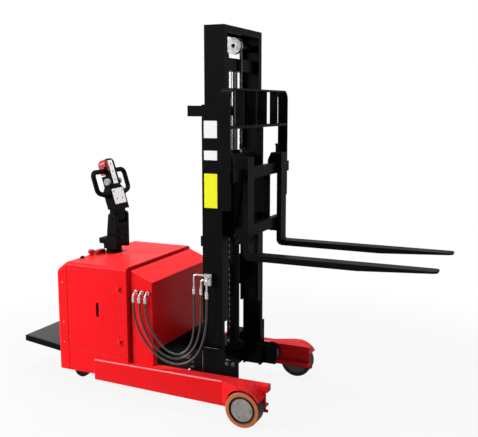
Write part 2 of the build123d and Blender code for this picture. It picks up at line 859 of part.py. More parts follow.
def leg(side):
    """One straddle leg: inward rail, outer plate, wheel guard, stub axle and tip."""
    with BuildPart() as beam:
        inner = side * leg_inner_y
        web_inside = side * rail_web_y
        web_outside = side * web_outer_y
        outside = side * leg_outer_y
        guard_side = side * guard_outer_y
        flange_end_x = leg_tip_x - leg_plate
        block((leg_rear_x, flange_end_x), (inner, web_outside), (leg_bottom_z, rail_bottom_z))
        block((leg_rear_x, flange_end_x), (web_inside, web_outside), (leg_bottom_z, leg_top_z))
        block((leg_rear_x, leg_tip_x), (inner, web_outside), (rail_top_z, leg_top_z))
        block((leg_rear_x, guard_rear_x), (web_outside, outside), (rail_top_z, leg_top_z))
        block((leg_rear_x, leg_rear_x + leg_plate), (inner, outside), (leg_bottom_z, leg_top_z))
        outer_outline = [
            (leg_rear_x, leg_bottom_z),
            (wheel_x, leg_toe_z),
            (wheel_x, leg_top_z),
            (leg_rear_x, leg_top_z),
        ]
        slab(outer_outline, (outside - side * leg_plate, outside))
        with BuildSketch(Plane.XZ.offset(-web_outside)):
            with BuildLine():
                centre = (wheel_x, wheel_radius)
                sweep_angle = 90 - guard_front_angle
                over = CenterArc(centre, guard_radius, guard_front_angle, sweep_angle)
                under = CenterArc(centre, arch_radius, guard_front_angle, 180 - guard_front_angle)
                Line(over @ 0, under @ 0)
                Polyline(
                    over @ 1,
                    (guard_rear_x, leg_top_z),
                    (guard_rear_x, wheel_radius),
                    under @ 1,
                )
            make_face()
        extrude(amount=side * (web_outer_y - guard_outer_y))
        arch_y = (web_outside, guard_side)
        bar_y(arch_radius, wheel_x, arch_y, wheel_radius, mode=Mode.SUBTRACT)
        with BuildSketch(Plane.XY):
            with BuildLine():
                Polyline(
                    (guard_rear_x, outside),
                    (guard_rear_x + guard_flare, guard_side),
                    (guard_rear_x, guard_side),
                    close=True,
                )
            make_face()
        extrude(amount=leg_top_z, mode=Mode.SUBTRACT)
        block((guard_rear_x, flange_end_x), (web_inside, web_outside), (web_toe_z, leg_bottom_z))
        lip_x = (flange_end_x, leg_tip_x)
        block(lip_x, (inner, web_outside), (leg_top_z - tip_lip, leg_top_z))
        skid_z = (web_toe_z, web_toe_z + skid_size)
        block((flange_end_x, flange_end_x + skid_size), (web_inside, web_outside), skid_z)
        axle_y = (web_outside, side * (wheel_inner_y + axle_length))
        bar_y(axle_radius, wheel_x, axle_y, wheel_radius)
        collar_y = (web_outside, side * (wheel_inner_y - axle_collar_gap))
        bar_y(axle_collar_radius, wheel_x, collar_y, wheel_radius)
        top_edge = beam.edges().filter_by(Axis.X)
        top_edge = top_edge.filter_by(lambda e: e.center().Z > leg_top_z - pick_margin)
        top_edge = top_edge.filter_by(lambda e: abs(e.center().Y - outside) < pick_margin)
        fillet(top_edge, radius=leg_edge_blend)
    return beam


def load_hub(side):
    """Wheel hub with a stepped face and three bolt heads."""
    with BuildPart() as hub:
        step_y = side * (wheel_outer_y - hub_groove)
        face_y = side * (wheel_outer_y - hub_proud)
        bar_y(hub_radius, wheel_x, (side * wheel_inner_y, step_y), wheel_radius)
        bar_y(hub_face_radius, wheel_x, (step_y, face_y), wheel_radius)
        bore_y = (side * wheel_inner_y, side * (wheel_inner_y + axle_length + slide_fit))
        bar_y(axle_radius + pin_fit, wheel_x, bore_y, wheel_radius, mode=Mode.SUBTRACT)
        for angle in hub_bolt_angles:
            bolt_x = wheel_x + hub_bolt_circle * cos(radians(angle))
            bolt_z = wheel_radius + hub_bolt_circle * sin(radians(angle))
            bar_y(hub_bolt_radius, bolt_x, (face_y, face_y + side * hub_bolt_height), bolt_z)
    return hub


def load_tyre(side):
    """Bonded tyre ring around the hub."""
    with BuildPart() as tyre:
        span = (side * wheel_inner_y, side * wheel_outer_y)
        bar_y(wheel_radius, wheel_x, span, wheel_radius)
        rims = tyre.edges().filter_by(GeomType.CIRCLE)
        chamfer(rims, length=tyre_chamfer)
        bar_y(hub_radius, wheel_x, span, wheel_radius, mode=Mode.SUBTRACT)
    return tyre


def caster_fork(side):
    """Swivelling caster fork with its king pin and axle."""
    with BuildPart() as fork:
        y = side * caster_y
        axle_x = caster_x - caster_trail
        top_z = hood_bottom_z - slide_fit
        cheek_in = caster_wheel_width / 2 + slide_fit
        cheek_out = cheek_in + caster_cheek
        bar_z(caster_disc_radius, caster_x, y, (top_z - caster_plate, top_z))
        bar_z(caster_pin_radius, caster_x, y, (top_z - caster_plate, floor_top_z))
        for cheek in (-1, 1):
            span = (y + cheek * cheek_in, y + cheek * cheek_out)
            cheek_x = (axle_x, caster_x + caster_pin_radius)
            block(cheek_x, span, (caster_wheel_radius, top_z))
            bar_y(caster_boss_radius, axle_x, span, caster_wheel_radius)
        bar_y(caster_axle_radius, axle_x, (y - cheek_out, y + cheek_out), caster_wheel_radius)
    return fork


def caster_wheel(side):
    """Caster wheel with rounded shoulders."""
    with BuildPart() as wheel:
        y = side * caster_y
        half = caster_wheel_width / 2
        axle_x = caster_x - caster_trail
        bar_y(caster_wheel_radius, axle_x, (y - half, y + half), caster_wheel_radius)
        fillet(wheel.edges().filter_by(GeomType.CIRCLE), radius=caster_wheel_round)
        bore = caster_axle_radius + pin_fit
        bar_y(bore, axle_x, (y - half, y + half), caster_wheel_radius, mode=Mode.SUBTRACT)
    return wheel


def fork(side):
    """One fork: tapered blade, heel, shank and the two hooks that ride on the bars."""
    with BuildPart() as tine:
        middle = side * fork_y
        span = (middle - fork_width / 2, middle + fork_width / 2)
        bottom_z = fork_top_z - fork_thickness
        lip_front_x = bar_rear_x - slide_fit
        lip_rear_x = lip_front_x - hook_lip
        lip_z = upper_bar_top_z + slide_fit
        under_z = lower_bar_bottom_z - slide_fit
        under_x = fork_rear_x - lower_hook_reach
        with BuildSketch(Plane.XZ.offset(-span[0])) as outline:
            with BuildLine():
                Polyline(
                    (fork_rear_x, bottom_z),
                    (fork_tip_x - fork_taper, bottom_z),
                    (fork_tip_x, fork_top_z - fork_tip_thickness),
                    (fork_tip_x, fork_top_z),
                    (fork_face_x, fork_top_z),
                    (fork_face_x, hook_top_z),
                    (lip_rear_x + hook_slope, hook_top_z),
                    (lip_rear_x, hook_top_z - hook_slope_height),
                    (lip_rear_x, lip_z - hook_lip_drop),
                    (lip_front_x, lip_z - hook_lip_drop),
                    (lip_front_x, lip_z),
                    (fork_rear_x, lip_z),
                    (fork_rear_x, under_z),
                    (under_x, under_z),
                    (under_x, under_z - lower_hook_drop),
                    (fork_rear_x, under_z - lower_hook_drop),
                    close=True,
                )
            make_face()
            fillet(corner(outline, fork_rear_x, bottom_z), radius=heel_radius)
            fillet(corner(outline, fork_face_x, fork_top_z), radius=heel_inner_radius)
        extrude(amount=-fork_width)
        fillet(tine.edges().filter_by(Axis.Z).sort_by(Axis.X)[-2:], radius=fork_tip_round)
        pin_x = (bar_rear_x + bar_front_x) / 2
        pin_top_z = hook_top_z + lock_pin_height
        bar_z(lock_pin_radius, pin_x, middle, (hook_top_z, pin_top_z))
        handle_y = (middle - lock_handle_length / 2, middle + lock_handle_length / 2)
        bar_y(lock_handle_radius, pin_x, handle_y, pin_top_z)
    return tine


sides = {"right": -1, "left": 1}
for word, side in sides.items():
    save(leg(side), f"leg_{word}")
    save(load_hub(side), f"load_hub_{word}")
    save(load_tyre(side), f"load_tyre_{word}")
    save(caster_fork(side), f"caster_fork_{word}")
    save(caster_wheel(side), f"caster_wheel_{word}")
    save(fork(side), f"fork_{word}")

# Battery on its shelf
with BuildPart() as battery:
    battery_x = (shelf_rear_x, shelf_rear_x + battery_length)
    battery_y = (-battery_width / 2, battery_width / 2)
    block(battery_x, battery_y, (battery_z, battery_z + battery_height))
save(battery, "battery")

# Hydraulic unit: tank, pump motor and the valve block behind the hose outlets
with BuildPart() as hydraulic_unit:
    unit_x = (box_rear_x + box_front_x) / 2
    tank_x = (unit_x - tank_length / 2, unit_x + tank_length / 2)
    block(tank_x, (0, tank_width), (hydraulic_shelf_z, hydraulic_shelf_z + tank_height))
    bar_z(pump_radius, unit_x, pump_y, (hydraulic_shelf_z, hydraulic_shelf_z + pump_height))
    valve_outer_y = -half_box + sheet
    valve_x = (outlet_x[0] - nut_radius, outlet_x[-1] + nut_radius)
    valve_z = (outlet_z - valve_height / 2, outlet_z + valve_height / 2)
    block(valve_x, (valve_outer_y, valve_outer_y + valve_depth), valve_z)
save(hydraulic_unit, "hydraulic_unit")

# Drive gearbox: turntable in the floor, two cheeks, bridge and axle
half_drive = drive_wheel_width / 2
cheek_in = half_drive + wheel_clearance / 2
cheek_out = cheek_in + cheek_thickness
bridge_z = motor_z - bridge_height
with BuildPart() as drive_gearbox:
    flange_z = (floor_top_z + slide_fit, floor_top_z + slide_fit + turntable_flange_height)
    bar_z(turntable_radius, drive_x, 0, (hood_bottom_z, flange_z[1]))
    bar_z(turntable_radius + turntable_flange, drive_x, 0, flange_z)
    slot_half = drive_wheel_radius + wheel_clearance
    wheel_slot_x = (drive_x - slot_half, drive_x + slot_half)
    block(wheel_slot_x, (-cheek_in, cheek_in), (hood_bottom_z, flange_z[1]), mode=Mode.SUBTRACT)
    cheek_x = (drive_x - cheek_length / 2, drive_x + cheek_length / 2)
    for side in (-1, 1):
        block(cheek_x, (side * cheek_in, side * cheek_out), (cheek_bottom_z, motor_z))
    block(cheek_x, (-cheek_out, cheek_out), (bridge_z, motor_z))
    bar_y(axle_radius, drive_x, (-cheek_out, cheek_out), drive_wheel_radius)
save(drive_gearbox, "drive_gearbox")

with BuildPart() as drive_motor:
    bar_z(motor_radius, drive_x, 0, (motor_z, motor_top_z))
    fillet(drive_motor.edges().sort_by(Axis.Z)[-1], radius=motor_round)
save(drive_motor, "drive_motor")

with BuildPart() as drive_wheel:
    bar_y(drive_wheel_radius, drive_x, (-half_drive, half_drive), drive_wheel_radius)
    fillet(drive_wheel.edges().filter_by(GeomType.CIRCLE), radius=drive_wheel_round)
    hub_bore = axle_radius + pin_fit
    bar_y(hub_bore, drive_x, (-half_drive, half_drive), drive_wheel_radius, mode=Mode.SUBTRACT)
save(drive_wheel, "drive_wheel")

# Steering head: column on the motor, casting with a rear lug, two feet, two ears and the tiller's pin
half_block = steer_block_width / 2
ear_y = half_block - ear_thickness
with BuildPart() as tiller_base:
    block_front_x = tiller_x + steer_block_depth / 2
    block_rear_x = tiller_x - steer_block_depth / 2
    lug_rear_x = block_rear_x - rear_lug_length
    foot_rear_x = block_rear_x - steer_foot_reach
    lug_under_z = steer_block_bottom_z + rear_lug_lift
    lug_over_z = lug_under_z + rear_lug_height
    with BuildSketch(Plane.XZ.offset(half_block)) as cheek:
        with BuildLine():
            Polyline(
                (block_front_x, steer_foot_z),
                (block_front_x, ear_top_z),
                (block_rear_x + steer_shoulder_inset, ear_top_z),
                (block_rear_x, ear_floor_z - steer_shoulder_drop),
                (block_rear_x, lug_over_z),
                (lug_rear_x, lug_over_z),
                (lug_rear_x, lug_under_z),
                (foot_rear_x, lug_under_z),
                (foot_rear_x, steer_foot_z),
                close=True,
            )
        make_face()
        fillet(corner(cheek, block_rear_x, lug_over_z), radius=steer_throat)
        fillet(corner(cheek, lug_rear_x, lug_under_z), radius=steer_blend)
        fillet(corner(cheek, foot_rear_x, lug_under_z), radius=steer_blend)
        fillet(corner(cheek, block_front_x, ear_top_z), radius=ear_round)
        fillet(corner(cheek, block_rear_x + steer_shoulder_inset, ear_top_z), radius=ear_round)
    extrude(to_extrude=cheek.sketch, amount=-steer_block_width)
    between_ears = (-ear_y, ear_y)
    slot_x = (block_rear_x, block_front_x)
    block(slot_x, between_ears, (ear_floor_z, ear_top_z), mode=Mode.SUBTRACT)
    under_x = (foot_rear_x, block_front_x)
    block(under_x, between_ears, (steer_foot_z, steer_block_bottom_z), mode=Mode.SUBTRACT)
    bar_z(neck_radius, drive_x, 0, (hood_top_z - sheet, steer_block_bottom_z))
    bar_z(column_radius, drive_x, 0, (motor_top_z, steer_block_bottom_z))
    pin_end = half_block + tiller_pin_proud
    bar_y(tiller_pin_radius, tiller_x, (-pin_end, pin_end), tiller_axis_z)
save(tiller_base, "tiller_base")

# Tiller arm: stands between the ears and carries the control head
with BuildPart() as tiller_arm:
    arm_y = ear_y - arm_side_gap
    arm_x = (tiller_x - arm_thickness / 2, tiller_x + arm_thickness / 2)
    block(arm_x, (-arm_y, arm_y), (tiller_axis_z, arm_top_z))
    bar_y(arm_thickness / 2, tiller_x, (-arm_y, arm_y), tiller_axis_z)
    pin_bore = tiller_pin_radius + pin_fit
    bar_y(pin_bore, tiller_x, (-arm_y, arm_y), tiller_axis_z, mode=Mode.SUBTRACT)
    fillet(tiller_arm.edges().filter_by(Axis.Z), radius=arm_edge_blend)
save(tiller_arm, "tiller_arm")

# Control head: its own plane leans back, local x is Y, local y runs up the head
lean = radians(head_lean)
head_origin = (tiller_x + head_forward, 0, arm_top_z)
head_plane = Plane(origin=head_origin, x_dir=(0, 1, 0), z_dir=(cos(lean), 0, sin(lean)))
half_head = head_width / 2
half_neck = head_neck_width / 2
shoulder = head_neck_length + half_neck - half_head
half_depth = head_thickness / 2
belly_bottom = head_length - belly_length
with BuildPart() as tiller_head:
    with BuildSketch(head_plane) as face:
        with BuildLine():
            Polyline(
                (-half_neck, -head_thickness),
                (-half_neck, head_neck_length),
                (-half_head, shoulder),
                (-half_head, head_length),
                (half_head, head_length),
                (half_head, shoulder),
                (half_neck, head_neck_length),
                (half_neck, -head_thickness),
                close=True,
            )
        make_face()
        fillet(face.vertices().sort_by(Axis.Y)[-2:], radius=head_round)
    extrude(amount=half_depth, both=True)
    with BuildSketch(head_plane.offset(belly_parting)):
        with Locations((0, head_length - belly_length / 2 - belly_gap / 2)):
            Rectangle(head_width, belly_length + belly_gap)
    extrude(amount=-half_depth - belly_parting, mode=Mode.SUBTRACT)
    with BuildSketch(head_plane.offset(belly_parting)):
        with Locations((0, head_length - belly_brow_length / 2 - belly_gap / 2)):
            Rectangle(head_width, belly_brow_length + belly_gap)
    extrude(amount=belly_brow_depth, mode=Mode.SUBTRACT)
    below_z = (arm_top_z - 2 * head_thickness, arm_top_z)
    below_x = (tiller_x - head_width, tiller_x + head_width)
    block(below_x, (-half_neck, half_neck), below_z, mode=Mode.SUBTRACT)
    for side in (-1, 1):
        loop_points = [
            (side * (half_head - loop_root), loop_top),
            (side * loop_half_width, loop_top),
            (side * loop_half_width, loop_corner),
            (side * (half_neck - loop_radius), loop_foot),
        ]
        with BuildLine(head_plane) as loop_path:
            FilletPolyline(*loop_points, radius=loop_bend)
        with BuildSketch(Plane(origin=loop_path.line @ 0, z_dir=loop_path.line % 0)):
            Circle(loop_radius)
        sweep(path=loop_path.line)
    stem_hole_plane = head_plane.offset(-half_depth / 2)
    stem_bottom = belly_bottom - belly_gap - belly_stem_length
    stem_origin = stem_hole_plane.from_local_coords((0, stem_bottom, 0))
    stem_top = stem_hole_plane.from_local_coords((0, belly_bottom, 0))
    stem_plane = Plane(origin=stem_origin, z_dir=stem_top - stem_origin)
    with BuildSketch(stem_plane):
        Circle(belly_stem_radius + pin_fit)
    extrude(amount=belly_stem_length + belly_gap, mode=Mode.SUBTRACT)
    shaft_centre = head_plane.from_local_coords((0, throttle_height, throttle_forward))
    shaft_bore = throttle_shaft_radius + pin_fit
    bar_y(shaft_bore, shaft_centre.X, (-half_head, half_head), shaft_centre.Z, mode=Mode.SUBTRACT)
    with BuildSketch(head_plane.offset(-half_depth)):
        with Locations((0, rocker_height)):
            Rectangle(rocker_width + 2 * rocker_gap, rocker_length + 2 * rocker_gap)
    extrude(amount=rocker_depth + rocker_gap, mode=Mode.SUBTRACT)
    rocker_plane = head_plane.offset(-half_depth + rocker_depth / 2)
    rocker_centre = rocker_plane.from_local_coords((0, rocker_height, 0))
    rocker_pin_y = (-rocker_width / 2 - rocker_gap, rocker_width / 2 + rocker_gap)
    bar_y(rocker_pin_radius, rocker_centre.X, rocker_pin_y, rocker_centre.Z)
save(tiller_head, "tiller_head")

# Belly button: deep red cap on the operator's side of the head, its brow reaches round to the front
with BuildPart() as belly_button:
    with BuildSketch(head_plane.offset(belly_parting - slide_fit)) as cap:
        with Locations((0, head_length - belly_length / 2)):
            Rectangle(belly_width, belly_length)
        fillet(cap.vertices().group_by(Axis.Y)[-1], radius=head_round)
    extrude(amount=-belly_depth)
    outer_face = belly_button.faces().sort_by(Axis.X)[0]
    fillet(outer_face.edges(), radius=belly_round)
    with BuildSketch(head_plane.offset(belly_parting - slide_fit)) as brow:
        with Locations((0, head_length - belly_brow_length / 2)):
            Rectangle(belly_width, belly_brow_length)
        fillet(brow.vertices().group_by(Axis.Y)[-1], radius=head_round)
    extrude(amount=belly_brow_depth)
    with BuildSketch(stem_plane.offset(belly_gap)):
        Circle(belly_stem_radius)
    extrude(amount=belly_stem_length)
save(belly_button, "belly_button")

# Throttle: two ribbed thumb wings on one shaft through the head
with BuildPart() as throttle:
    wing_end = half_head + throttle_wing
    bar_y(throttle_shaft_radius, shaft_centre.X, (-wing_end, wing_end), shaft_centre.Z)
    for side in (-1, 1):
        wing_y = (side * (half_head + throttle_side_gap), side * wing_end)
        bar_y(throttle_radius, shaft_centre.X, wing_y, shaft_centre.Z)
save(throttle, "throttle")

# Lift and lower rocker on the operator's face of the head
with BuildPart() as lift_rocker:
    with BuildSketch(head_plane.offset(-half_depth - rocker_gap)) as pad:
        with Locations((0, rocker_height)):
            Rectangle(rocker_width, rocker_length)
    extrude(amount=rocker_depth + rocker_gap / 2)
    rocker_bore = rocker_pin_radius + pin_fit
    bar_y(rocker_bore, rocker_centre.X, rocker_pin_y, rocker_centre.Z, mode=Mode.SUBTRACT)
save(lift_rocker, "lift_rocker")

# Emergency stop, power plug and key switch on the hood top
with BuildPart() as e_stop_knob:
    stop_head_z = collar_top_z + stop_travel + slide_fit
    bar_z(stop_radius, stop_x, stop_y, (stop_head_z, stop_head_z + stop_head_height))
    fillet(e_stop_knob.edges().group_by(Axis.Z)[-1], radius=stop_round)
    bar_z(stop_stem_radius, stop_x, stop_y, (hood_top_z - sheet, stop_head_z))
save(e_stop_knob, "e_stop_knob")

with BuildPart() as power_plug:
    plug_foot_z = hood_top_z + slide_fit
    plug_span_x = (plug_x - plug_size_x / 2, plug_x + plug_size_x / 2)
    plug_span_y = (plug_y - plug_size_y / 2, plug_y + plug_size_y / 2)
    block(plug_span_x, plug_span_y, (plug_foot_z, plug_foot_z + plug_height))
    fillet(power_plug.edges().group_by(Axis.Z)[-1], radius=plug_round)
    tongue_x = (plug_x - plug_tongue_x / 2, plug_x + plug_tongue_x / 2)
    tongue_y = (plug_y - plug_tongue_y / 2, plug_y + plug_tongue_y / 2)
    block(tongue_x, tongue_y, (hood_top_z - plug_tongue, plug_foot_z))
save(power_plug, "power_plug")

with BuildPart() as key_switch:
    key_foot_z = hood_top_z + slide_fit
    bar_z(key_radius, key_x, key_y, (key_foot_z, key_foot_z + key_height))
    bar_z(key_stem_radius, key_x, key_y, (hood_top_z - plug_tongue, key_foot_z))
    bow_x = (key_x - sheet / 2, key_x + sheet / 2)
    bow_y = (key_y - key_radius, key_y + key_radius)
    bow_foot_z = key_foot_z + key_height
    block(bow_x, bow_y, (bow_foot_z, bow_foot_z + key_bow_height))
save(key_switch, "key_switch")

# Platform: steel deck that climbs to the rear and folds up about the lugs' pins, with a rubber mat
half_platform = platform_width / 2
with BuildPart() as platform_deck:
    deck_x = (platform_rear_x, platform_front_x)
    climbing_slab(deck_x, (-half_platform, half_platform), platform_bottom_z, platform_top_z)
    fillet(platform_deck.edges().filter_by(Axis.Z).group_by(Axis.X)[0], radius=platform_corner)
    pan_x = (platform_rear_x + platform_corner, platform_front_x - platform_hinge_depth)
    pan_y = (platform_wall - half_platform, half_platform - platform_wall)
    climbing_slab(pan_x, pan_y, platform_bottom_z, platform_top_z - platform_wall, mode=Mode.SUBTRACT)
    for side in (-1, 1):
        gap = lug_thickness / 2 + lug_side_gap
        cut_y = (side * lug_y - gap, side * lug_y + gap)
        cut_x = (platform_front_x - lug_cut_length, platform_front_x)
        block(cut_x, cut_y, (platform_bottom_z, platform_top_z + platform_rise), mode=Mode.SUBTRACT)
        bore_end = lug_thickness / 2 + lug_pin_reach + slide_fit
        bore_y = (side * lug_y - bore_end, side * lug_y + bore_end)
        bore = lug_pin_radius + pin_fit
        bar_y(bore, platform_axis_x, bore_y, platform_axis_z, mode=Mode.SUBTRACT)
save(platform_deck, "platform_deck")

with BuildPart() as platform_mat:
    mat_x = (platform_rear_x + mat_border, platform_front_x - lug_cut_length)
    mat_y = half_platform - mat_border
    climbing_slab(mat_x, (-mat_y, mat_y), platform_top_z, platform_top_z + mat_thickness)
    mat_corners = platform_mat.edges().filter_by(Axis.Z).group_by(Axis.X)[0]
    fillet(mat_corners, radius=mat_corner)
save(platform_mat, "platform_mat")

# Reach carriage: side plates in the leg rails, rear beam and the lift cylinder's foot
carriage_front_x = mast_front_x + carriage_nose_reach
left_front_x = mast_front_x + left_nose_reach
left_nose_z = leg_top_z + left_nose_rise
reach_roller_x = (mast_rear_x + reach_roller_inset_rear, left_front_x - reach_roller_inset_front)
rail_roller_y = (leg_inner_y + slide_fit, leg_inner_y + slide_fit + reach_roller_width)
with BuildPart() as reach_carriage:
    plate_back = [
        (mast_front_x, carriage_top_z),
        (mast_rear_x, carriage_top_z),
        (mast_rear_x, beam_top_z),
        (beam_rear_x, beam_top_z),
        (beam_rear_x, carriage_bottom_z),
    ]
    right_nose = [
        (carriage_front_x, carriage_bottom_z),
        (carriage_front_x, carriage_nose_z),
        (carriage_front_x - carriage_nose_length, carriage_nose_z),
    ]
    left_nose = [
        (left_front_x, carriage_bottom_z),
        (left_front_x, left_nose_z),
        (mast_front_x, left_nose_z),
    ]
    for side, nose in ((-1, right_nose), (1, left_nose)):
        slab(nose + plate_back, (side * carriage_inner_y, side * carriage_outer_y))
        spacer_y = (side * half_outer_mast, side * carriage_inner_y)
        block((mast_rear_x, mast_front_x), spacer_y, (carriage_bottom_z, carriage_nose_z))
        for x in reach_roller_x:
            bar_y(roller_pin_radius, x, (side * carriage_outer_y, side * rail_roller_y[1]), rail_roller_z)
    beam_y = (-carriage_inner_y, carriage_inner_y)
    block((beam_rear_x, mast_rear_x), beam_y, (beam_bottom_z, beam_top_z))
    hollow_x = (beam_rear_x + beam_wall, mast_rear_x - beam_wall)
    hollow_z = (beam_bottom_z, beam_top_z - beam_wall)
    block(hollow_x, beam_y, hollow_z, mode=Mode.SUBTRACT)
    foot_x = (mast_rear_x, mast_rear_x + foot_length)
    block(foot_x, (-foot_width / 2, foot_width / 2), (foot_bottom_z, foot_top_z))
    rear_chain_x = mast_mid_x - chain_radius
    bar_z(anchor_pin_radius, rear_chain_x, 0, (foot_top_z, rear_anchor_top_z - anchor_height))
    clevis_x = (rear_chain_x - chain_height / 2, rear_chain_x + chain_height / 2)
    clevis_y = (-chain_width / 2, chain_width / 2)
    block(clevis_x, clevis_y, (rear_anchor_top_z - anchor_height, rear_anchor_top_z))
save(reach_carriage, "reach_carriage")

for word, x in zip(("rear", "front"), reach_roller_x):
    with BuildPart() as reach_rollers:
        for side in (-1, 1):
            span = (side * rail_roller_y[0], side * rail_roller_y[1])
            bar_y(rail_roller_radius, x, span, rail_roller_z)
            bar_y(roller_pin_radius + pin_fit, x, span, rail_roller_z, mode=Mode.SUBTRACT)
    save(reach_rollers, f"reach_rollers_{word}")

# Reach cylinders on the chassis, their rods on the carriage's beam
tube_front_x = rear_x + reach_tube_front
piston_x = rear_x + reach_piston_from_rear
with BuildPart() as reach_cylinders:
    for side in (-1, 1):
        y = side * reach_cylinder_y
        bar_x(reach_tube_radius, (tube_rear_x, tube_front_x), y, reach_cylinder_z)
        chamber_x = (tube_rear_x + reach_gland, tube_front_x - reach_gland)
        bar_x(reach_bore_radius, chamber_x, y, reach_cylinder_z, mode=Mode.SUBTRACT)
        rod_bore = reach_rod_radius + pin_fit
        bar_x(rod_bore, (chamber_x[1], tube_front_x), y, reach_cylinder_z, mode=Mode.SUBTRACT)
save(reach_cylinders, "reach_cylinders")

with BuildPart() as reach_rods:
    for side in (-1, 1):
        y = side * reach_cylinder_y
        bar_x(reach_rod_radius, (piston_x, beam_rear_x), y, reach_cylinder_z)
        piston_end_x = piston_x + reach_piston_length
        bar_x(reach_bore_radius - pin_fit, (piston_x, piston_end_x), y, reach_cylinder_z)
save(reach_rods, "reach_rods")

# Outer mast: two channels open inwards, tied together behind
pocket_x = (mast_rear_x + flange, mast_front_x - flange)
outer_mast_z = (outer_mast_bottom_z, outer_mast_top_z)
top_tie_z = (top_tie_bottom_z, top_tie_bottom_z + top_tie_height)
with BuildPart() as outer_mast:
    for side in (-1, 1):
        channel_y = (side * outer_lip_y, side * half_outer_mast)
        block((mast_rear_x, mast_front_x), channel_y, outer_mast_z)
        block(pocket_x, (side * outer_lip_y, side * outer_web_y), outer_mast_z, mode=Mode.SUBTRACT)
        tie_plate_y = (side * half_outer_mast, side * (half_outer_mast + tie_wall))
        block((mast_rear_x - top_tie_depth, mast_front_x), tie_plate_y, top_tie_z)
    tie_y = (-half_outer_mast, half_outer_mast)
    block((mast_rear_x - top_tie_depth, mast_rear_x), tie_y, top_tie_z)
    tie_hollow_x = (mast_rear_x - top_tie_depth + tie_wall, mast_rear_x - tie_wall)
    block(tie_hollow_x, tie_y, (top_tie_z[0] + tie_wall, top_tie_z[1] - tie_wall), mode=Mode.SUBTRACT)
    middle_tie_z = (middle_tie_bottom_z, middle_tie_bottom_z + middle_tie_height)
    block((mast_rear_x - middle_tie_depth, mast_rear_x), tie_y, middle_tie_z)
save(outer_mast, "outer_mast")

# Inner mast: two channels clear of the outer mast's ties, arched lower tie, crossbar on the lift rod,
# pulley shaft and crown
inner_mast_x = (mast_rear_x + slide_fit, mast_front_x)
inner_mast_z = (inner_mast_bottom_z, inner_mast_top_z)
strand_inner = chain_radius - chain_height / 2
crossbar_half = strand_inner - chain_gap - slide_fit
groove_y = chain_width / 2 + slide_fit
rim_y = groove_y + pulley_flange_thickness
axle_end_y = rim_y + pulley_side_gap
with BuildPart() as inner_mast:
    for side in (-1, 1):
        channel_y = (side * inner_lip_y, side * half_inner_mast)
        block(inner_mast_x, channel_y, inner_mast_z)
        block(pocket_x, (side * inner_lip_y, side * inner_web_y), inner_mast_z, mode=Mode.SUBTRACT)
        pin_y = (side * half_inner_mast, side * (outer_lip_y + slide_fit + inner_roller_width))
        for height in inner_roller_heights:
            bar_y(roller_pin_radius, mast_mid_x, pin_y, height)
    tie_y = (-inner_web_y, inner_web_y)
    arch_x = (inner_mast_x[0], mast_rear_x + arch_thickness)
    block(arch_x, tie_y, (arch_bottom_z, arch_bottom_z + arch_height))
    notch_y = (-arch_notch_width / 2, arch_notch_width / 2)
    block(arch_x, notch_y, (arch_bottom_z, arch_bottom_z + arch_notch_height), mode=Mode.SUBTRACT)
    crossbar_top_z = crossbar_bottom_z + crossbar_height
    crossbar_x = (mast_mid_x - crossbar_half, mast_mid_x + crossbar_half)
    block(crossbar_x, tie_y, (crossbar_bottom_z, crossbar_top_z))
    bar_y(pulley_carrier_radius, mast_mid_x, (axle_end_y, inner_web_y), pulley_z)
    bar_y(pulley_axle_radius, mast_mid_x, (-axle_end_y, axle_end_y), pulley_z)
    crown_z = (inner_mast_top_z - crown_height, inner_mast_top_z)
    block(inner_mast_x, tie_y, crown_z)
    crown_hollow_z = (crown_z[0], inner_mast_top_z - crown_wall)
    block((pocket_x[0], pocket_x[1]), tie_y, crown_hollow_z, mode=Mode.SUBTRACT)
save(inner_mast, "inner_mast")

for word, height in zip(("lower", "upper"), inner_roller_heights):
    with BuildPart() as inner_rollers:
        for side in (-1, 1):
            start = outer_lip_y + slide_fit
            span = (side * start, side * (start + inner_roller_width))
            bar_y(mast_roller_radius, mast_mid_x, span, height)
            bar_y(roller_pin_radius + pin_fit, mast_mid_x, span, height, mode=Mode.SUBTRACT)
    save(inner_rollers, f"inner_rollers_{word}")

# Lift cylinder on the carriage's foot, its rod under the crossbar
with BuildPart() as lift_cylinder:
    bar_z(lift_tube_radius, mast_mid_x, 0, (foot_top_z, lift_tube_top_z))
    gland_z = (lift_tube_top_z - lift_gland_height, lift_tube_top_z)
    bar_z(lift_gland_radius, mast_mid_x, 0, gland_z)
    base_x = (mast_mid_x - lift_tube_radius, mast_mid_x + lift_tube_radius)
    base_y = (-lift_flange_width / 2, lift_flange_width / 2)
    base_top_z = foot_top_z + lift_flange_thickness
    block(base_x, base_y, (foot_top_z, base_top_z))
    bar_z(lift_bore_radius, mast_mid_x, 0, (base_top_z, gland_z[0]), mode=Mode.SUBTRACT)
    bar_z(lift_rod_radius + pin_fit, mast_mid_x, 0, gland_z, mode=Mode.SUBTRACT)
save(lift_cylinder, "lift_cylinder")

with BuildPart() as lift_rod:
    bar_z(lift_rod_radius, mast_mid_x, 0, (piston_bottom_z, crossbar_bottom_z))
    piston_z = (piston_bottom_z, piston_bottom_z + piston_height)
    bar_z(lift_bore_radius - pin_fit, mast_mid_x, 0, piston_z)
save(lift_rod, "lift_rod")

# Chain pulley and the two strands of the lift chain
with BuildPart() as chain_pulley:
    bar_y(strand_inner - slide_fit, mast_mid_x, (-rim_y, rim_y), pulley_z)
    for side in (-1, 1):
        bar_y(pulley_flange_radius, mast_mid_x, (side * groove_y, side * rim_y), pulley_z)
    axle_bore = pulley_axle_radius + pin_fit
    bar_y(axle_bore, mast_mid_x, (-rim_y, rim_y), pulley_z, mode=Mode.SUBTRACT)
save(chain_pulley, "chain_pulley")

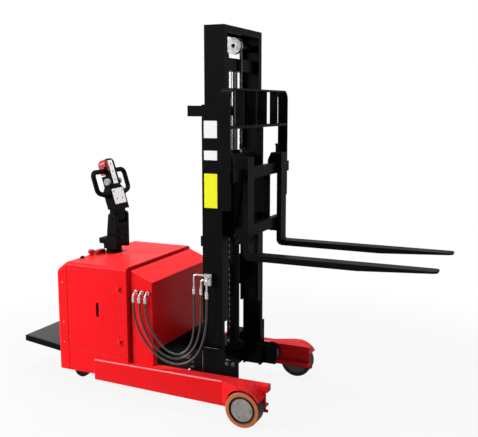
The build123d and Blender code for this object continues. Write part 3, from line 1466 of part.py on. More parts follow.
chain_y = (-chain_width / 2, chain_width / 2)
front_chain_x = mast_mid_x + chain_radius
with BuildPart() as lift_chain_front:
    bar_y(chain_radius + chain_height / 2, mast_mid_x, chain_y, pulley_z)
    bar_y(strand_inner, mast_mid_x, chain_y, pulley_z, mode=Mode.SUBTRACT)
    wrap_reach = chain_radius + chain_height
    wrap_x = (mast_mid_x - wrap_reach, mast_mid_x + wrap_reach)
    block(wrap_x, chain_y, (pulley_z - wrap_reach, pulley_z), mode=Mode.SUBTRACT)
    strand_x = (front_chain_x - chain_height / 2, front_chain_x + chain_height / 2)
    block(strand_x, chain_y, (front_anchor_top_z, pulley_z))
save(lift_chain_front, "lift_chain_front")

with BuildPart() as lift_chain_rear:
    block(clevis_x, chain_y, (rear_anchor_top_z, pulley_z))
save(lift_chain_rear, "lift_chain_rear")

# Lift carriage: side plates between the inner channels, cross plates, tilt shaft and chain lug
lift_front_x = mast_front_x + lift_plate_front
lift_rear_x = mast_rear_x + lift_plate_rear_inset
lift_roller_start = inner_lip_y + slide_fit
lift_roller_y = (lift_roller_start, lift_roller_start + lift_roller_width)
cross_rear_x = mast_front_x + lift_cross_gap
cross_x = (cross_rear_x, cross_rear_x + lift_cross_thickness)
with BuildPart() as lift_carriage:
    lift_outline = [
        (lift_rear_x, lift_plate_bottom_z),
        (cross_x[1] + lift_plate_foot, lift_plate_bottom_z),
        (lift_front_x, tilt_axis_z - 2 * tilt_shaft_radius),
        (lift_front_x, tilt_axis_z + tilt_shaft_radius),
        (tilt_axis_x - lift_plate_shoulder, tilt_axis_z + lift_plate_shoulder_rise),
        (cross_x[1], lift_plate_top_z),
        (lift_rear_x, lift_plate_top_z),
    ]
    for side in (-1, 1):
        slab(lift_outline, (side * lift_plate_inner_y, side * lift_plate_outer_y))
        for height in lift_roller_heights:
            pin_y = (side * lift_plate_outer_y, side * lift_roller_y[1])
            bar_y(roller_pin_radius, mast_mid_x, pin_y, height)
    cross_y = (-lift_plate_inner_y, lift_plate_inner_y)
    block(cross_x, cross_y, (lift_plate_top_z - lift_cross_height, lift_plate_top_z))
    block(cross_x, cross_y, (lift_plate_bottom_z, lift_plate_bottom_z + lift_cross_height))
    bar_y(tilt_shaft_radius, tilt_axis_x, cross_y, tilt_axis_z)
    for side in (-1, 1):
        hole = tilt_tube_radius + slide_fit
        bar_x(hole, cross_x, side * tilt_cylinder_y, tilt_cylinder_z, mode=Mode.SUBTRACT)
    chain_lug_z = (lift_plate_top_z - chain_lug_height, lift_plate_top_z)
    chain_lug_x = (front_chain_x - chain_height / 2, cross_x[0])
    block(chain_lug_x, chain_y, chain_lug_z)
    bar_z(anchor_pin_radius, front_chain_x, 0, (lift_plate_top_z, front_anchor_top_z - anchor_height))
    block(strand_x, chain_y, (front_anchor_top_z - anchor_height, front_anchor_top_z))
save(lift_carriage, "lift_carriage")

for word, height in zip(("lower", "upper"), lift_roller_heights):
    with BuildPart() as carriage_rollers:
        for side in (-1, 1):
            span = (side * lift_roller_y[0], side * lift_roller_y[1])
            bar_y(mast_roller_radius, mast_mid_x, span, height)
            bar_y(roller_pin_radius + pin_fit, mast_mid_x, span, height, mode=Mode.SUBTRACT)
    save(carriage_rollers, f"carriage_rollers_{word}")

# Tilt cylinders through the lower cross plate, their rods pinned to the fork frame
tilt_tube_x = (cross_x[1] + tilt_flange_thickness - tilt_tube_length, cross_x[1] + tilt_flange_thickness)
tilt_piston_x = tilt_tube_x[1] - tilt_piston_back
with BuildPart() as tilt_cylinders:
    for side in (-1, 1):
        y = side * tilt_cylinder_y
        bar_x(tilt_tube_radius, tilt_tube_x, y, tilt_cylinder_z)
        bar_x(tilt_flange_radius, (cross_x[1], tilt_tube_x[1]), y, tilt_cylinder_z)
        chamber_x = (tilt_tube_x[0] + tilt_gland, tilt_tube_x[1] - tilt_gland)
        bar_x(tilt_bore_radius, chamber_x, y, tilt_cylinder_z, mode=Mode.SUBTRACT)
        rod_bore = tilt_rod_radius + pin_fit
        bar_x(rod_bore, (chamber_x[1], tilt_tube_x[1]), y, tilt_cylinder_z, mode=Mode.SUBTRACT)
save(tilt_cylinders, "tilt_cylinders")

clevis_in = tilt_rod_radius + clevis_gap
clevis_out = clevis_in + clevis_thickness
with BuildPart() as tilt_rods:
    for side in (-1, 1):
        y = side * tilt_cylinder_y
        bar_x(tilt_rod_radius, (tilt_piston_x, tilt_pin_x + tilt_pin_radius), y, tilt_cylinder_z)
        piston_end_x = tilt_piston_x + tilt_piston_length
        bar_x(tilt_bore_radius - pin_fit, (tilt_piston_x, piston_end_x), y, tilt_cylinder_z)
        bar_y(tilt_pin_radius, tilt_pin_x, (y - clevis_out, y + clevis_out), tilt_cylinder_z)
save(tilt_rods, "tilt_rods")

# Fork frame: two bars, two uprights hung on the tilt shaft, clevises with upright slots
with BuildPart() as fork_frame:
    bar_span_x = (bar_rear_x, bar_front_x)
    block(bar_span_x, (-half_bar, half_bar), (upper_bar_bottom_z, upper_bar_top_z))
    half_lower_bar = fork_y + fork_width / 2
    block(bar_span_x, (-half_lower_bar, half_lower_bar), (lower_bar_bottom_z, lower_bar_top_z))
    boss_z = tilt_axis_z - upright_boss_drop
    upright_outline = [
        (bar_rear_x, lower_bar_bottom_z),
        (bar_rear_x - upright_leg_depth, lower_bar_bottom_z),
        (bar_rear_x - upright_leg_depth, boss_z),
        (tilt_axis_x - upright_rear, boss_z + upright_boss_slope),
        (tilt_axis_x - upright_rear, upright_top_z),
        (bar_rear_x, upright_top_z),
    ]
    for side in (-1, 1):
        upright_y = (side * upright_inner_y, side * upright_outer_y)
        slab(upright_outline, upright_y)
        y = side * tilt_cylinder_y
        for cheek in (-1, 1):
            cheek_y = (y + cheek * clevis_in, y + cheek * clevis_out)
            cheek_x = (tilt_pin_x - tilt_pin_radius - clevis_margin, bar_rear_x)
            cheek_rise = tilt_pin_radius + tilt_pin_rise + clevis_margin
            cheek_z = (tilt_cylinder_z - cheek_rise, tilt_cylinder_z + cheek_rise)
            block(cheek_x, cheek_y, cheek_z)
            slot_half_x = tilt_pin_radius + tilt_pin_slack
            slot_half_z = tilt_pin_radius + tilt_pin_rise
            slot_span_x = (tilt_pin_x - slot_half_x, tilt_pin_x + slot_half_x)
            slot_span_z = (tilt_cylinder_z - slot_half_z, tilt_cylinder_z + slot_half_z)
            block(slot_span_x, cheek_y, slot_span_z, mode=Mode.SUBTRACT)
    shaft_hole = tilt_shaft_radius + pin_fit
    bar_y(shaft_hole, tilt_axis_x, (-upright_outer_y, upright_outer_y), tilt_axis_z, mode=Mode.SUBTRACT)
save(fork_frame, "fork_frame")

# Load backrest: bent flat bar on the ends of the upper bar, a rail and upright slats
backrest_front_x = bar_front_x - backrest_front_inset
backrest_rear_x = backrest_front_x - backrest_depth
with BuildPart() as load_backrest:
    outer_half = half_bar + backrest_bar
    middle_z = (backrest_bottom_z + backrest_top_z) / 2
    full_height = backrest_top_z - backrest_bottom_z
    with BuildSketch(Plane.YZ.offset(backrest_rear_x)) as hoop:
        with Locations((0, middle_z)):
            Rectangle(2 * outer_half, full_height)
        fillet(hoop.vertices().group_by(Axis.Y)[-1], radius=backrest_corner)
    extrude(amount=backrest_depth)
    with BuildSketch(Plane.YZ.offset(backrest_rear_x)) as gap_form:
        with Locations((0, middle_z - backrest_bar)):
            Rectangle(2 * half_bar, full_height)
        fillet(gap_form.vertices().group_by(Axis.Y)[-1], radius=backrest_corner - backrest_bar)
    extrude(amount=backrest_depth, mode=Mode.SUBTRACT)
    rail_top = backrest_rail_z + backrest_rail_height
    rail_y = (-half_bar, half_bar)
    block((backrest_rear_x, backrest_front_x), rail_y, (backrest_rail_z, rail_top))
    for place in slat_places:
        for side in (-1, 1):
            slat_y = (side * place - slat_thickness / 2, side * place + slat_thickness / 2)
            slat_x = (backrest_front_x - slat_depth, backrest_front_x)
            block(slat_x, slat_y, (rail_top, backrest_top_z - backrest_bar))
save(load_backrest, "load_backrest")


def fitting(points, sleeve_span):
    """A bent steel pipe with a crimped sleeve on its lower end."""
    with BuildLine() as bend:
        FilletPolyline(*points, radius=pipe_bend)
    with BuildSketch(Plane(origin=bend.line @ 0, z_dir=bend.line % 0)) as section:
        Circle(pipe_radius)
    sweep(sections=section.sketch, path=bend.line)
    end = points[-1]
    bar_z(sleeve_radius, end[0], end[1], sleeve_span)


# Elbows on the box side, one for each hose
outlet_y = -half_box - outlet_reach
with BuildPart() as box_fittings:
    for x in outlet_x:
        elbow = [
            (x, -half_box + sheet, outlet_z),
            (x, outlet_y, outlet_z),
            (x, outlet_y, outlet_sleeve_top_z),
        ]
        fitting(elbow, (outlet_sleeve_bottom_z, outlet_sleeve_top_z))
        bar_y(nut_radius, x, (-half_box, -half_box - nut_length), outlet_z)
save(box_fittings, "box_fittings")

# Routes of the hoses: the fall is measured from the box sleeve, the rise from the mast sleeve
manifold_x = (mast_rear_x + manifold_inset, mast_rear_x + manifold_inset + manifold_length)
manifold_y = -half_outer_mast - manifold_depth
pipe_y = -half_outer_mast - pipe_reach
hose_ends = {
    "hose_outer": (manifold_x[0] + outer_pipe_forward, manifold_y - outer_pipe_reach, outer_sleeve_z),
    "hose_middle": (manifold_x[0] - middle_pipe_back, pipe_y, mast_sleeve_z),
    "hose_inner": (manifold_x[0] - inner_pipe_back, pipe_y, mast_sleeve_z),
}
hose_falls = {
    "hose_outer": ((0, 0, -62), (21, 4, -148), (61, 10, -232), (122, 16, -302), (198, 21, -350)),
    "hose_middle": ((0, 0, -62), (20, 7, -148), (57, 18, -231), (114, 29, -300), (189, 42, -337)),
    "hose_inner": ((0, 0, -57), (20, 8, -134), (56, 21, -212), (111, 34, -282), (181, 49, -314)),
}
hose_rises = {
    "hose_outer": (
        (-190, -27, -424), (-112, -22, -398), (-54, -17, -342), (-20, -10, -260), (-3, -4, -162), (0, 0, -72),
    ),
    "hose_middle": ((-103, -42, -396), (-41, -30, -340), (-8, -18, -253), (1, -6, -155), (0, 0, -70)),
    "hose_inner": ((-35, -35, -353), (0, -22, -278), (5, -10, -188), (0, 0, -78)),
}
routes = {}
for name, x in zip(hose_ends, outlet_x):
    start = Vector(x, outlet_y, outlet_sleeve_bottom_z)
    end = Vector(*hose_ends[name])
    fall = [start + Vector(*step) for step in hose_falls[name]]
    rise = [end + Vector(*step) for step in hose_rises[name]]
    routes[name] = [start, *fall, *rise, end]

# Manifold block on the mast's right channel, with three pipes down to the hoses
pipe_starts = {
    "hose_outer": (hose_ends["hose_outer"][0], manifold_y, manifold_bottom_z + outer_pipe_rise),
    "hose_middle": (manifold_x[0], pipe_y, manifold_bottom_z + middle_pipe_rise),
    "hose_inner": (manifold_x[0], pipe_y, manifold_bottom_z + inner_pipe_rise),
}
with BuildPart() as mast_fittings:
    manifold_z = (manifold_bottom_z, manifold_bottom_z + manifold_height)
    block(manifold_x, (manifold_y, -half_outer_mast), manifold_z)
    for name, start in pipe_starts.items():
        end = hose_ends[name]
        sleeve_top_z = end[2] + mast_sleeve_length
        bend_at = (end[0], end[1], start[2])
        fitting([start, bend_at, (end[0], end[1], sleeve_top_z)], (end[2], sleeve_top_z))
save(mast_fittings, "mast_fittings")

# Hoses: straight runs joined by tangent arcs as large as the runs allow
run_share = 0.45
for name, points in routes.items():
    radii = []
    for before, here, after in zip(points, points[1:], points[2:]):
        turn = radians((here - before).get_angle(after - here))
        shorter = min((here - before).length, (after - here).length)
        radii.append(run_share * shorter / tan(turn / 2))
    with BuildPart() as hose:
        with BuildLine() as route:
            FilletPolyline(*points, radius=radii)
        with BuildSketch(Plane(origin=route.line @ 0, z_dir=route.line % 0)):
            Circle(hose_radius)
        sweep(path=route.line)
    length = sum(edge.length for edge in route.line.edges())
    share = hose.part.volume / (pi * hose_radius**2 * length)
    print(name, "length", round(length), "volume share", round(share, 4), "radii", [round(r) for r in radii])
    save(hose, name)
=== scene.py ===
import json
from math import cos, pi, radians, sin

import bmesh
import bpy
import numpy as np
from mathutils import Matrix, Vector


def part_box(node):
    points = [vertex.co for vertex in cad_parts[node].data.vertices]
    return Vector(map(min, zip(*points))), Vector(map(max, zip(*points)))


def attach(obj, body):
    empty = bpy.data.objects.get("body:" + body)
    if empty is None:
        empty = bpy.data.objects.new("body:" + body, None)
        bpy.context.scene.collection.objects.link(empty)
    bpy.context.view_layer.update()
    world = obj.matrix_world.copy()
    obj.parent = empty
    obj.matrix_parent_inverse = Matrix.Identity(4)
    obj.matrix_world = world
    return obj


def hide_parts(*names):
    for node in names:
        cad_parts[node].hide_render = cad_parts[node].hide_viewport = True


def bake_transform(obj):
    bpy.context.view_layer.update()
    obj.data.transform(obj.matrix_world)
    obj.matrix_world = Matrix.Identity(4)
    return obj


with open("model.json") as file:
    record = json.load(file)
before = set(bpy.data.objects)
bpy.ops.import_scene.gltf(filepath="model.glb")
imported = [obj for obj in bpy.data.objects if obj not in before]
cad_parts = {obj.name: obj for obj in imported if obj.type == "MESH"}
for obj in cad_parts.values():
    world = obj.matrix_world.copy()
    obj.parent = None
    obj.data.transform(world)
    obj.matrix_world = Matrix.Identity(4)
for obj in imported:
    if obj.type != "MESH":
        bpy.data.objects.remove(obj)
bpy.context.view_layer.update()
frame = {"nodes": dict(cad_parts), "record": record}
nodes = frame["nodes"]
scene = bpy.context.scene
scene.view_settings.view_transform = "Standard"

# Camera at the photograph's viewing angle
camera_place = (1.96085, -4.065, 1.820)
camera_pitch = 81.2
camera_turn = 24.5
camera_lens = 54.776
camera_data = bpy.data.cameras.new("camera")
camera_data.sensor_fit = "HORIZONTAL"
camera_data.sensor_width = 36.0
camera_data.lens = camera_lens
camera = bpy.data.objects.new("camera", camera_data)
camera.location = camera_place
camera.rotation_euler = (radians(camera_pitch), 0.0, radians(camera_turn))
scene.collection.objects.link(camera)
scene.camera = camera

# Directions: along the truck, across it and up
x_way = (1.0, 0.0, 0.0)
y_way = (0.0, 1.0, 0.0)
upright = (0.0, 0.0, 1.0)
downright = (0.0, 0.0, -1.0)

# Meshes from grids of points
weld_distance = 2e-6
crease_angle = 35.0
nearly_along = 0.9
tooth_sharpness = 3.0
toothed_from = 0.5


def grid_mesh(name, surfaces):
    """One mesh from grids of points, each given as (points, rows wrap, columns wrap).

    Four neighbouring grid points make a quad, and a wrapped direction joins its last line to its
    first. UV runs from 0 to 1 along the columns and along the rows. Doubles are merged, which
    closes seams and poles, and the faces are turned outwards.
    """
    points, quads, corners = [], [], []
    first = 0
    for grid, wrap_rows, wrap_cols in surfaces:
        copies = np.asarray(grid, float).reshape(-1, *np.shape(grid)[-3:])
        count, rows, cols = copies.shape[:3]
        row, col = np.meshgrid(
            np.arange(rows if wrap_rows else rows - 1),
            np.arange(cols if wrap_cols else cols - 1),
            indexing="ij",
        )
        corner_row = np.stack([row, row + 1, row + 1, row], -1)
        corner_col = np.stack([col, col, col + 1, col + 1], -1)
        index = (corner_row % rows) * cols + corner_col % cols
        starts = first + np.arange(count) * rows * cols
        quads.append((starts[:, None, None, None] + index).reshape(-1, 4))
        share = np.stack([corner_col / cols, corner_row / max(rows - 1, 1)], -1)
        corners.append(np.tile(share.reshape(-1, 2), (count, 1)))
        points.append(copies.reshape(-1, 3))
        first += count * rows * cols
    mesh = bpy.data.meshes.new(name)
    mesh.from_pydata(np.concatenate(points), [], np.concatenate(quads))
    mesh.uv_layers.new(name="UVMap").data.foreach_set("uv", np.concatenate(corners).ravel())
    shape = bmesh.new()
    shape.from_mesh(mesh)
    bmesh.ops.remove_doubles(shape, verts=shape.verts, dist=weld_distance)
    bmesh.ops.dissolve_degenerate(shape, edges=shape.edges, dist=weld_distance)
    bmesh.ops.recalc_face_normals(shape, faces=shape.faces)
    shape.to_mesh(mesh)
    shape.free()
    mesh.polygons.foreach_set("use_smooth", np.ones(len(mesh.polygons), bool))
    mesh.set_sharp_from_angle(angle=radians(crease_angle))
    return mesh


def add_piece(name, surfaces, finish, body=None, replaces=()):
    """A piece of the object from grids of points, in one finish, riding on a body."""
    piece = bpy.data.objects.new(name, grid_mesh(name, surfaces))
    scene.collection.objects.link(piece)
    piece.data.materials.append(finishes[finish])
    if body:
        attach(piece, body)
    if replaces:
        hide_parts(*replaces)
    return piece


def unit(vector):
    """Vectors divided by their lengths."""
    vector = np.asarray(vector, float)
    return vector / np.linalg.norm(vector, axis=-1, keepdims=True)


def across(axis):
    """An axis and two directions square to it and to each other."""
    axis = unit(axis)
    helper = x_way if abs(axis[0]) < nearly_along else y_way
    one = unit(np.cross(axis, helper))
    return axis, one, np.cross(axis, one)


def turned(profile, places, axis, steps=48, closed=False, teeth=0, tooth=0.0):
    """A profile of (distance along the axis, radius) turned about the axis, once at each place.

    Point = place + distance * axis + radius * (cos t * one + sin t * two), with t round the circle.
    With teeth, the radius dips by the tooth's depth where cos(teeth * t) falls below its middle.
    """
    axis, one, two = across(axis)
    along, radius = np.asarray(profile, float).T
    turn = np.linspace(0.0, 2 * pi, steps, endpoint=False)
    wave = 0.5 - 0.5 * np.tanh(tooth_sharpness * np.cos(teeth * turn))
    dip = tooth * wave if teeth else np.zeros(steps)
    toothed = radius[:, None] > toothed_from * radius.max()
    reach = np.maximum(radius[:, None] - dip * toothed, 0.0)
    ring = np.cos(turn)[:, None] * one + np.sin(turn)[:, None] * two
    grid = along[:, None, None] * axis + reach[:, :, None] * ring
    return np.asarray(places, float).reshape(-1, 1, 1, 3) + grid, closed, True


def rounded_outline(half_u, half_v, corner, inset=0.0, steps=6):
    """A rectangle with round corners: each corner's centre plus a quarter circle about it."""
    quarter = np.linspace(0.0, pi / 2, steps)
    turn = (quarter + np.arange(4)[:, None] * pi / 2).ravel()
    middle = np.repeat(np.arange(4) * pi / 2 + pi / 4, steps)
    radius = max(corner - inset, 0.0)
    u = np.sign(np.cos(middle)) * (half_u - inset - radius) + radius * np.cos(turn)
    v = np.sign(np.sin(middle)) * (half_v - inset - radius) + radius * np.sin(turn)
    return u, v


def plates(places, u_axis, v_axis, half_u, half_v, corner, thickness, bevel):
    """Flat plates with round corners and a bevelled rim, one standing on each place.

    Rows: middle of the back, back rim, start of the bevel, front rim, middle of the front. A row
    is the outline moved in by its inset and lifted by its height.
    """
    u_axis, v_axis = unit(u_axis), unit(v_axis)
    up = np.cross(u_axis, v_axis)
    rows = []
    for inset, height in ((0.0, 0.0), (0.0, thickness - bevel), (bevel, thickness)):
        u, v = rounded_outline(half_u, half_v, corner, inset)
        rows.append(u[:, None] * u_axis + v[:, None] * v_axis + height * up)
    back = np.zeros_like(rows[0])
    grid = np.stack([back, *rows, back + thickness * up])
    return np.asarray(places, float).reshape(-1, 1, 1, 3) + grid, False, True


def swept(path, section, side):
    """A closed section of (across, up) carried along a path.

    Across is the path's direction crossed with the side direction, up is that crossed with the
    path's direction again. Both ends close on the path's own end points.
    """
    path = np.asarray(path, float)
    section = np.asarray(section, float)
    forward = unit(np.gradient(path, axis=0))
    over = unit(np.cross(forward, np.asarray(side, float)))
    up = np.cross(over, forward)
    ring = section[None, :, 0, None] * over[:, None] + section[None, :, 1, None] * up[:, None]
    grid = path[:, None] + ring
    start = np.repeat(path[:1, None], len(section), 1)
    end = np.repeat(path[-1:, None], len(section), 1)
    return np.concatenate([start, grid, end]), False, True


def circle(radius, steps):
    """Points round a circle."""
    turn = np.linspace(0.0, 2 * pi, steps, endpoint=False)
    return radius * np.stack([np.cos(turn), np.sin(turn)], -1)


# Shader nodes
def add_node(tree, kind, inputs=None, **settings):
    """A shader node with its settings; each input takes a value or another node's output."""
    node = tree.nodes.new("ShaderNode" + kind)
    for key, value in settings.items():
        setattr(node, key, value)
    for key, value in (inputs or {}).items():
        if isinstance(value, bpy.types.NodeSocket):
            tree.links.new(value, node.inputs[key])
        else:
            node.inputs[key].default_value = value
    return node


def object_place(tree):
    """The point on the piece, in the piece's own metres."""
    return add_node(tree, "TexCoord").outputs["Object"]


def noise(tree, place, scale, detail=3.0, roughness=0.5):
    """Cloudy value from 0 to 1."""
    inputs = {"Vector": place, "Scale": scale, "Detail": detail, "Roughness": roughness}
    return add_node(tree, "TexNoise", inputs).outputs["Fac"]


def spread(tree, value, low, high, start=0.0, end=1.0):
    """A value between low and high, brought smoothly to start and end."""
    inputs = {"Value": value, "From Min": low, "From Max": high, "To Min": start, "To Max": end}
    return add_node(tree, "MapRange", inputs, interpolation_type="SMOOTHSTEP").outputs["Result"]


def calc(tree, operation, first, second=0.0):
    """Arithmetic on two values."""
    return add_node(tree, "Math", {0: first, 1: second}, operation=operation).outputs["Value"]


def mix_colour(tree, share, first, second):
    """Two colours mixed by a share."""
    node = add_node(tree, "Mix", {0: share, 6: first, 7: second}, data_type="RGBA")
    return node.outputs[2]


def rgb(red, green, blue):
    """A colour in linear light."""
    return (red, green, blue, 1.0)


def new_group(name, inputs, outputs):
    """A node group with named sockets, and its two end nodes. An output called Normal is a direction."""
    group = bpy.data.node_groups.new(name, "ShaderNodeTree")
    for label, value in inputs.items():
        socket = group.interface.new_socket(label, in_out="INPUT", socket_type="NodeSocketFloat")
        socket.default_value = value
    for label in outputs:
        kind = "NodeSocketVector" if label == "Normal" else "NodeSocketFloat"
        group.interface.new_socket(label, in_out="OUTPUT", socket_type=kind)
    return group, group.nodes.new("NodeGroupInput").outputs, group.nodes.new("NodeGroupOutput").inputs


def place_group(tree, group, **inputs):
    """A node group in a material, with its own values."""
    node = tree.nodes.new("ShaderNodeGroup")
    node.node_tree = group
    for label, value in inputs.items():
        node.inputs[label.replace("_", " ").title()].default_value = value
    return node.outputs


# Edge marks: a mask along outer edges, broken up by noise, and the normal of a softened edge. The mask marks
# worn edges, and on the red paints it lays painted highlight lines along the edges
flat_agreement, edge_agreement = 0.995, 0.80
edge_patch_start, edge_patch_end = 0.40, 0.62
edge_wear_and_highlight, given, found = new_group(
    "edge_wear_and_highlight", {"Width": 0.002, "Breakup": 90.0, "Bias": 0.5}, ["Edge", "Normal"]
)
round_normal = add_node(edge_wear_and_highlight, "Bevel", {"Radius": given["Width"]}, samples=6).outputs["Normal"]
true_normal = add_node(edge_wear_and_highlight, "NewGeometry").outputs["Normal"]
agreement = add_node(edge_wear_and_highlight, "VectorMath", {0: round_normal, 1: true_normal}, operation="DOT_PRODUCT")
rim = spread(edge_wear_and_highlight, agreement.outputs["Value"], flat_agreement, edge_agreement)
patchy = noise(edge_wear_and_highlight, object_place(edge_wear_and_highlight), given["Breakup"], 4.0)
patchy = calc(edge_wear_and_highlight, "ADD", patchy, calc(edge_wear_and_highlight, "SUBTRACT", given["Bias"], 0.5))
patches = spread(edge_wear_and_highlight, patchy, edge_patch_start, edge_patch_end)
edge_marks = calc(edge_wear_and_highlight, "MULTIPLY", rim, patches)
edge_wear_and_highlight.links.new(edge_marks, found["Edge"])
edge_wear_and_highlight.links.new(round_normal, found["Normal"])

# Paint film: fine orange peel, slow drift of tone and rare specks
speck_scale = 160.0
speck_start, speck_end = 0.73, 0.80
paint_film, given, found = new_group(
    "paint_film", {"Peel Scale": 420.0, "Drift Scale": 2.2}, ["Peel", "Drift", "Speck"]
)
where = object_place(paint_film)
paint_film.links.new(noise(paint_film, where, given["Peel Scale"], 2.0), found["Peel"])
paint_film.links.new(noise(paint_film, where, given["Drift Scale"], 4.0, 0.55), found["Drift"])
speck = spread(paint_film, noise(paint_film, where, speck_scale, 1.0), speck_start, speck_end)
paint_film.links.new(speck, found["Speck"])

# Settled dust and painted sheen: more on faces that look up, where on the red paints it also stands for a
# painted sheen from above, and near the floor
facing_start, facing_end = 0.5, 0.95
dust_and_sheen, given, found = new_group("dust_and_sheen", {"Scale": 18.0, "Low Height": 0.25}, ["Top", "Low"])
true_normal = add_node(dust_and_sheen, "NewGeometry").outputs["Normal"]
facing = add_node(dust_and_sheen, "SeparateXYZ", {0: true_normal}).outputs["Z"]
where = object_place(dust_and_sheen)
height = add_node(dust_and_sheen, "SeparateXYZ", {0: where}).outputs["Z"]
cloud = noise(dust_and_sheen, where, given["Scale"], 6.0, 0.6)
looks_up = spread(dust_and_sheen, facing, facing_start, facing_end)
top = calc(dust_and_sheen, "MULTIPLY", looks_up, cloud)
dust_and_sheen.links.new(top, found["Top"])
near_floor = spread(dust_and_sheen, height, given["Low Height"], 0.0)
low = calc(dust_and_sheen, "MULTIPLY", near_floor, cloud)
dust_and_sheen.links.new(low, found["Low"])

# Fine grain: moulded or cast skin
fine_grain, given, found = new_group("fine_grain", {"Scale": 900.0, "Patch Scale": 9.0}, ["Grain", "Patch"])
where = object_place(fine_grain)
fine_grain.links.new(noise(fine_grain, where, given["Scale"], 3.0, 0.6), found["Grain"])
fine_grain.links.new(noise(fine_grain, where, given["Patch Scale"], 5.0, 0.55), found["Patch"])

finishes = {}


def new_finish(name, slot=None, **constants):
    """An empty material with a Principled shader, whose constant sockets are set on it."""
    material = bpy.data.materials.new(name)
    material.use_nodes = True
    tree = material.node_tree
    shader = tree.nodes["Principled BSDF"]
    for label, value in constants.items():
        shader.inputs[label.replace("_", " ").title().replace("Ior", "IOR")].default_value = value
    finishes[name] = material
    return tree, shader


def feed(tree, shader, colour, roughness, bump, depth, strength, normal=None):
    """Links colour, roughness and bump height to a shader; the bump stands on a softened normal if given."""
    tree.links.new(colour, shader.inputs["Base Color"])
    tree.links.new(roughness, shader.inputs["Roughness"])
    relief = add_node(tree, "Bump", {"Height": bump, "Distance": depth, "Strength": strength})
    if normal is not None:
        tree.links.new(normal, relief.inputs["Normal"])
    tree.links.new(relief.outputs["Normal"], shader.inputs["Normal"])


pale_dust_and_sheen = rgb(0.55, 0.50, 0.46)
dark_grime = rgb(0.16, 0.14, 0.12)
speck_share, edge_mark_share = 0.12, 0.55
drift_low, drift_high = 0.25, 0.75
dust_dullness = 0.15
peel_depth, peel_strength = 0.0002, 0.12
paint_edge_width = 0.0025


def painted(name, deep, light, wear_and_highlight, smooth, rough, edge_bias, dust_and_sheen_amount, **constants):
    """Sprayed paint: two tones that drift, a film with orange peel, thin pale edges that are rubbed wear and,
    on the red paints, painted highlight lines, and a little dust that also lays a painted sheen on faces that
    look up.
    """
    tree, shader = new_finish(name, **constants)
    film = place_group(tree, paint_film)
    edge = place_group(tree, edge_wear_and_highlight, width=paint_edge_width, bias=edge_bias)
    dust_sheen = place_group(tree, dust_and_sheen)
    colour = mix_colour(tree, film["Drift"], rgb(*deep), rgb(*light))
    # faces that look up turn paler: settled dust, and on the red paints a painted sheen
    colour = mix_colour(tree, calc(tree, "MULTIPLY", dust_sheen["Top"], dust_and_sheen_amount), colour, pale_dust_and_sheen)
    colour = mix_colour(tree, calc(tree, "MULTIPLY", dust_sheen["Low"], 2 * dust_and_sheen_amount), colour, dark_grime)
    colour = mix_colour(tree, calc(tree, "MULTIPLY", film["Speck"], speck_share), colour, rgb(*wear_and_highlight))
    # edges take the pale colour: rubbed wear, and on the red paints painted highlight lines
    colour = mix_colour(tree, calc(tree, "MULTIPLY", edge["Edge"], edge_mark_share), colour, rgb(*wear_and_highlight))
    gloss = spread(tree, film["Drift"], drift_low, drift_high, smooth, rough)
    gloss = calc(tree, "ADD", gloss, calc(tree, "MULTIPLY", dust_sheen["Top"], dust_dullness))
    feed(tree, shader, colour, gloss, film["Peel"], peel_depth, peel_strength, edge["Normal"])


# Red paint: its pale pink edge colour paints highlight lines along the edges, and its dust pales upward faces
# as a painted sheen
painted("red_paint", deep=(0.78, 0.0070, 0.0100), light=(0.86, 0.0105, 0.0145), wear_and_highlight=(0.95, 0.34, 0.40),
        smooth=0.28, rough=0.38, edge_bias=0.52, dust_and_sheen_amount=0.05,
        specular_ior_level=0.02, coat_weight=0.08, coat_roughness=0.20)
# Pale pink paint for the strips along the legs' outer top edges: a painted highlight
painted("highlight_red", deep=(0.86, 0.15, 0.18), light=(0.94, 0.27, 0.31), wear_and_highlight=(0.97, 0.45, 0.48),
        smooth=0.22, rough=0.34, edge_bias=0.50, dust_and_sheen_amount=0.02, slot="red_paint", specular_ior_level=0.05)
painted("black_paint", deep=(0.0030, 0.0030, 0.0034), light=(0.0060, 0.0060, 0.0066),
        wear_and_highlight=(0.07, 0.07, 0.075), smooth=0.26, rough=0.42, edge_bias=0.42, dust_and_sheen_amount=0.004,
        specular_ior_level=0.005, coat_weight=0.05, coat_roughness=0.24)

# Tones between these two bounds make the patches of plastic, rubber, castings and metal
patch_low, patch_high = 0.3, 0.7
edge_polish = 0.12
grain_depth = 0.0003
moulded_edge_width = 0.002


def moulded(name, deep, light, smooth, rough, grain_scale, relief, **constants):
    """Moulded or cast skin: fine grain, patches of tone and of gloss, and edges polished by use."""
    tree, shader = new_finish(name, **constants)
    skin = place_group(tree, fine_grain, scale=grain_scale)
    edge = place_group(tree, edge_wear_and_highlight, width=moulded_edge_width)
    colour = mix_colour(tree, skin["Patch"], rgb(*deep), rgb(*light))
    gloss = spread(tree, skin["Patch"], patch_low, patch_high, smooth, rough)
    gloss = calc(tree, "SUBTRACT", gloss, calc(tree, "MULTIPLY", edge["Edge"], edge_polish))
    feed(tree, shader, colour, gloss, skin["Grain"], grain_depth, relief, edge["Normal"])


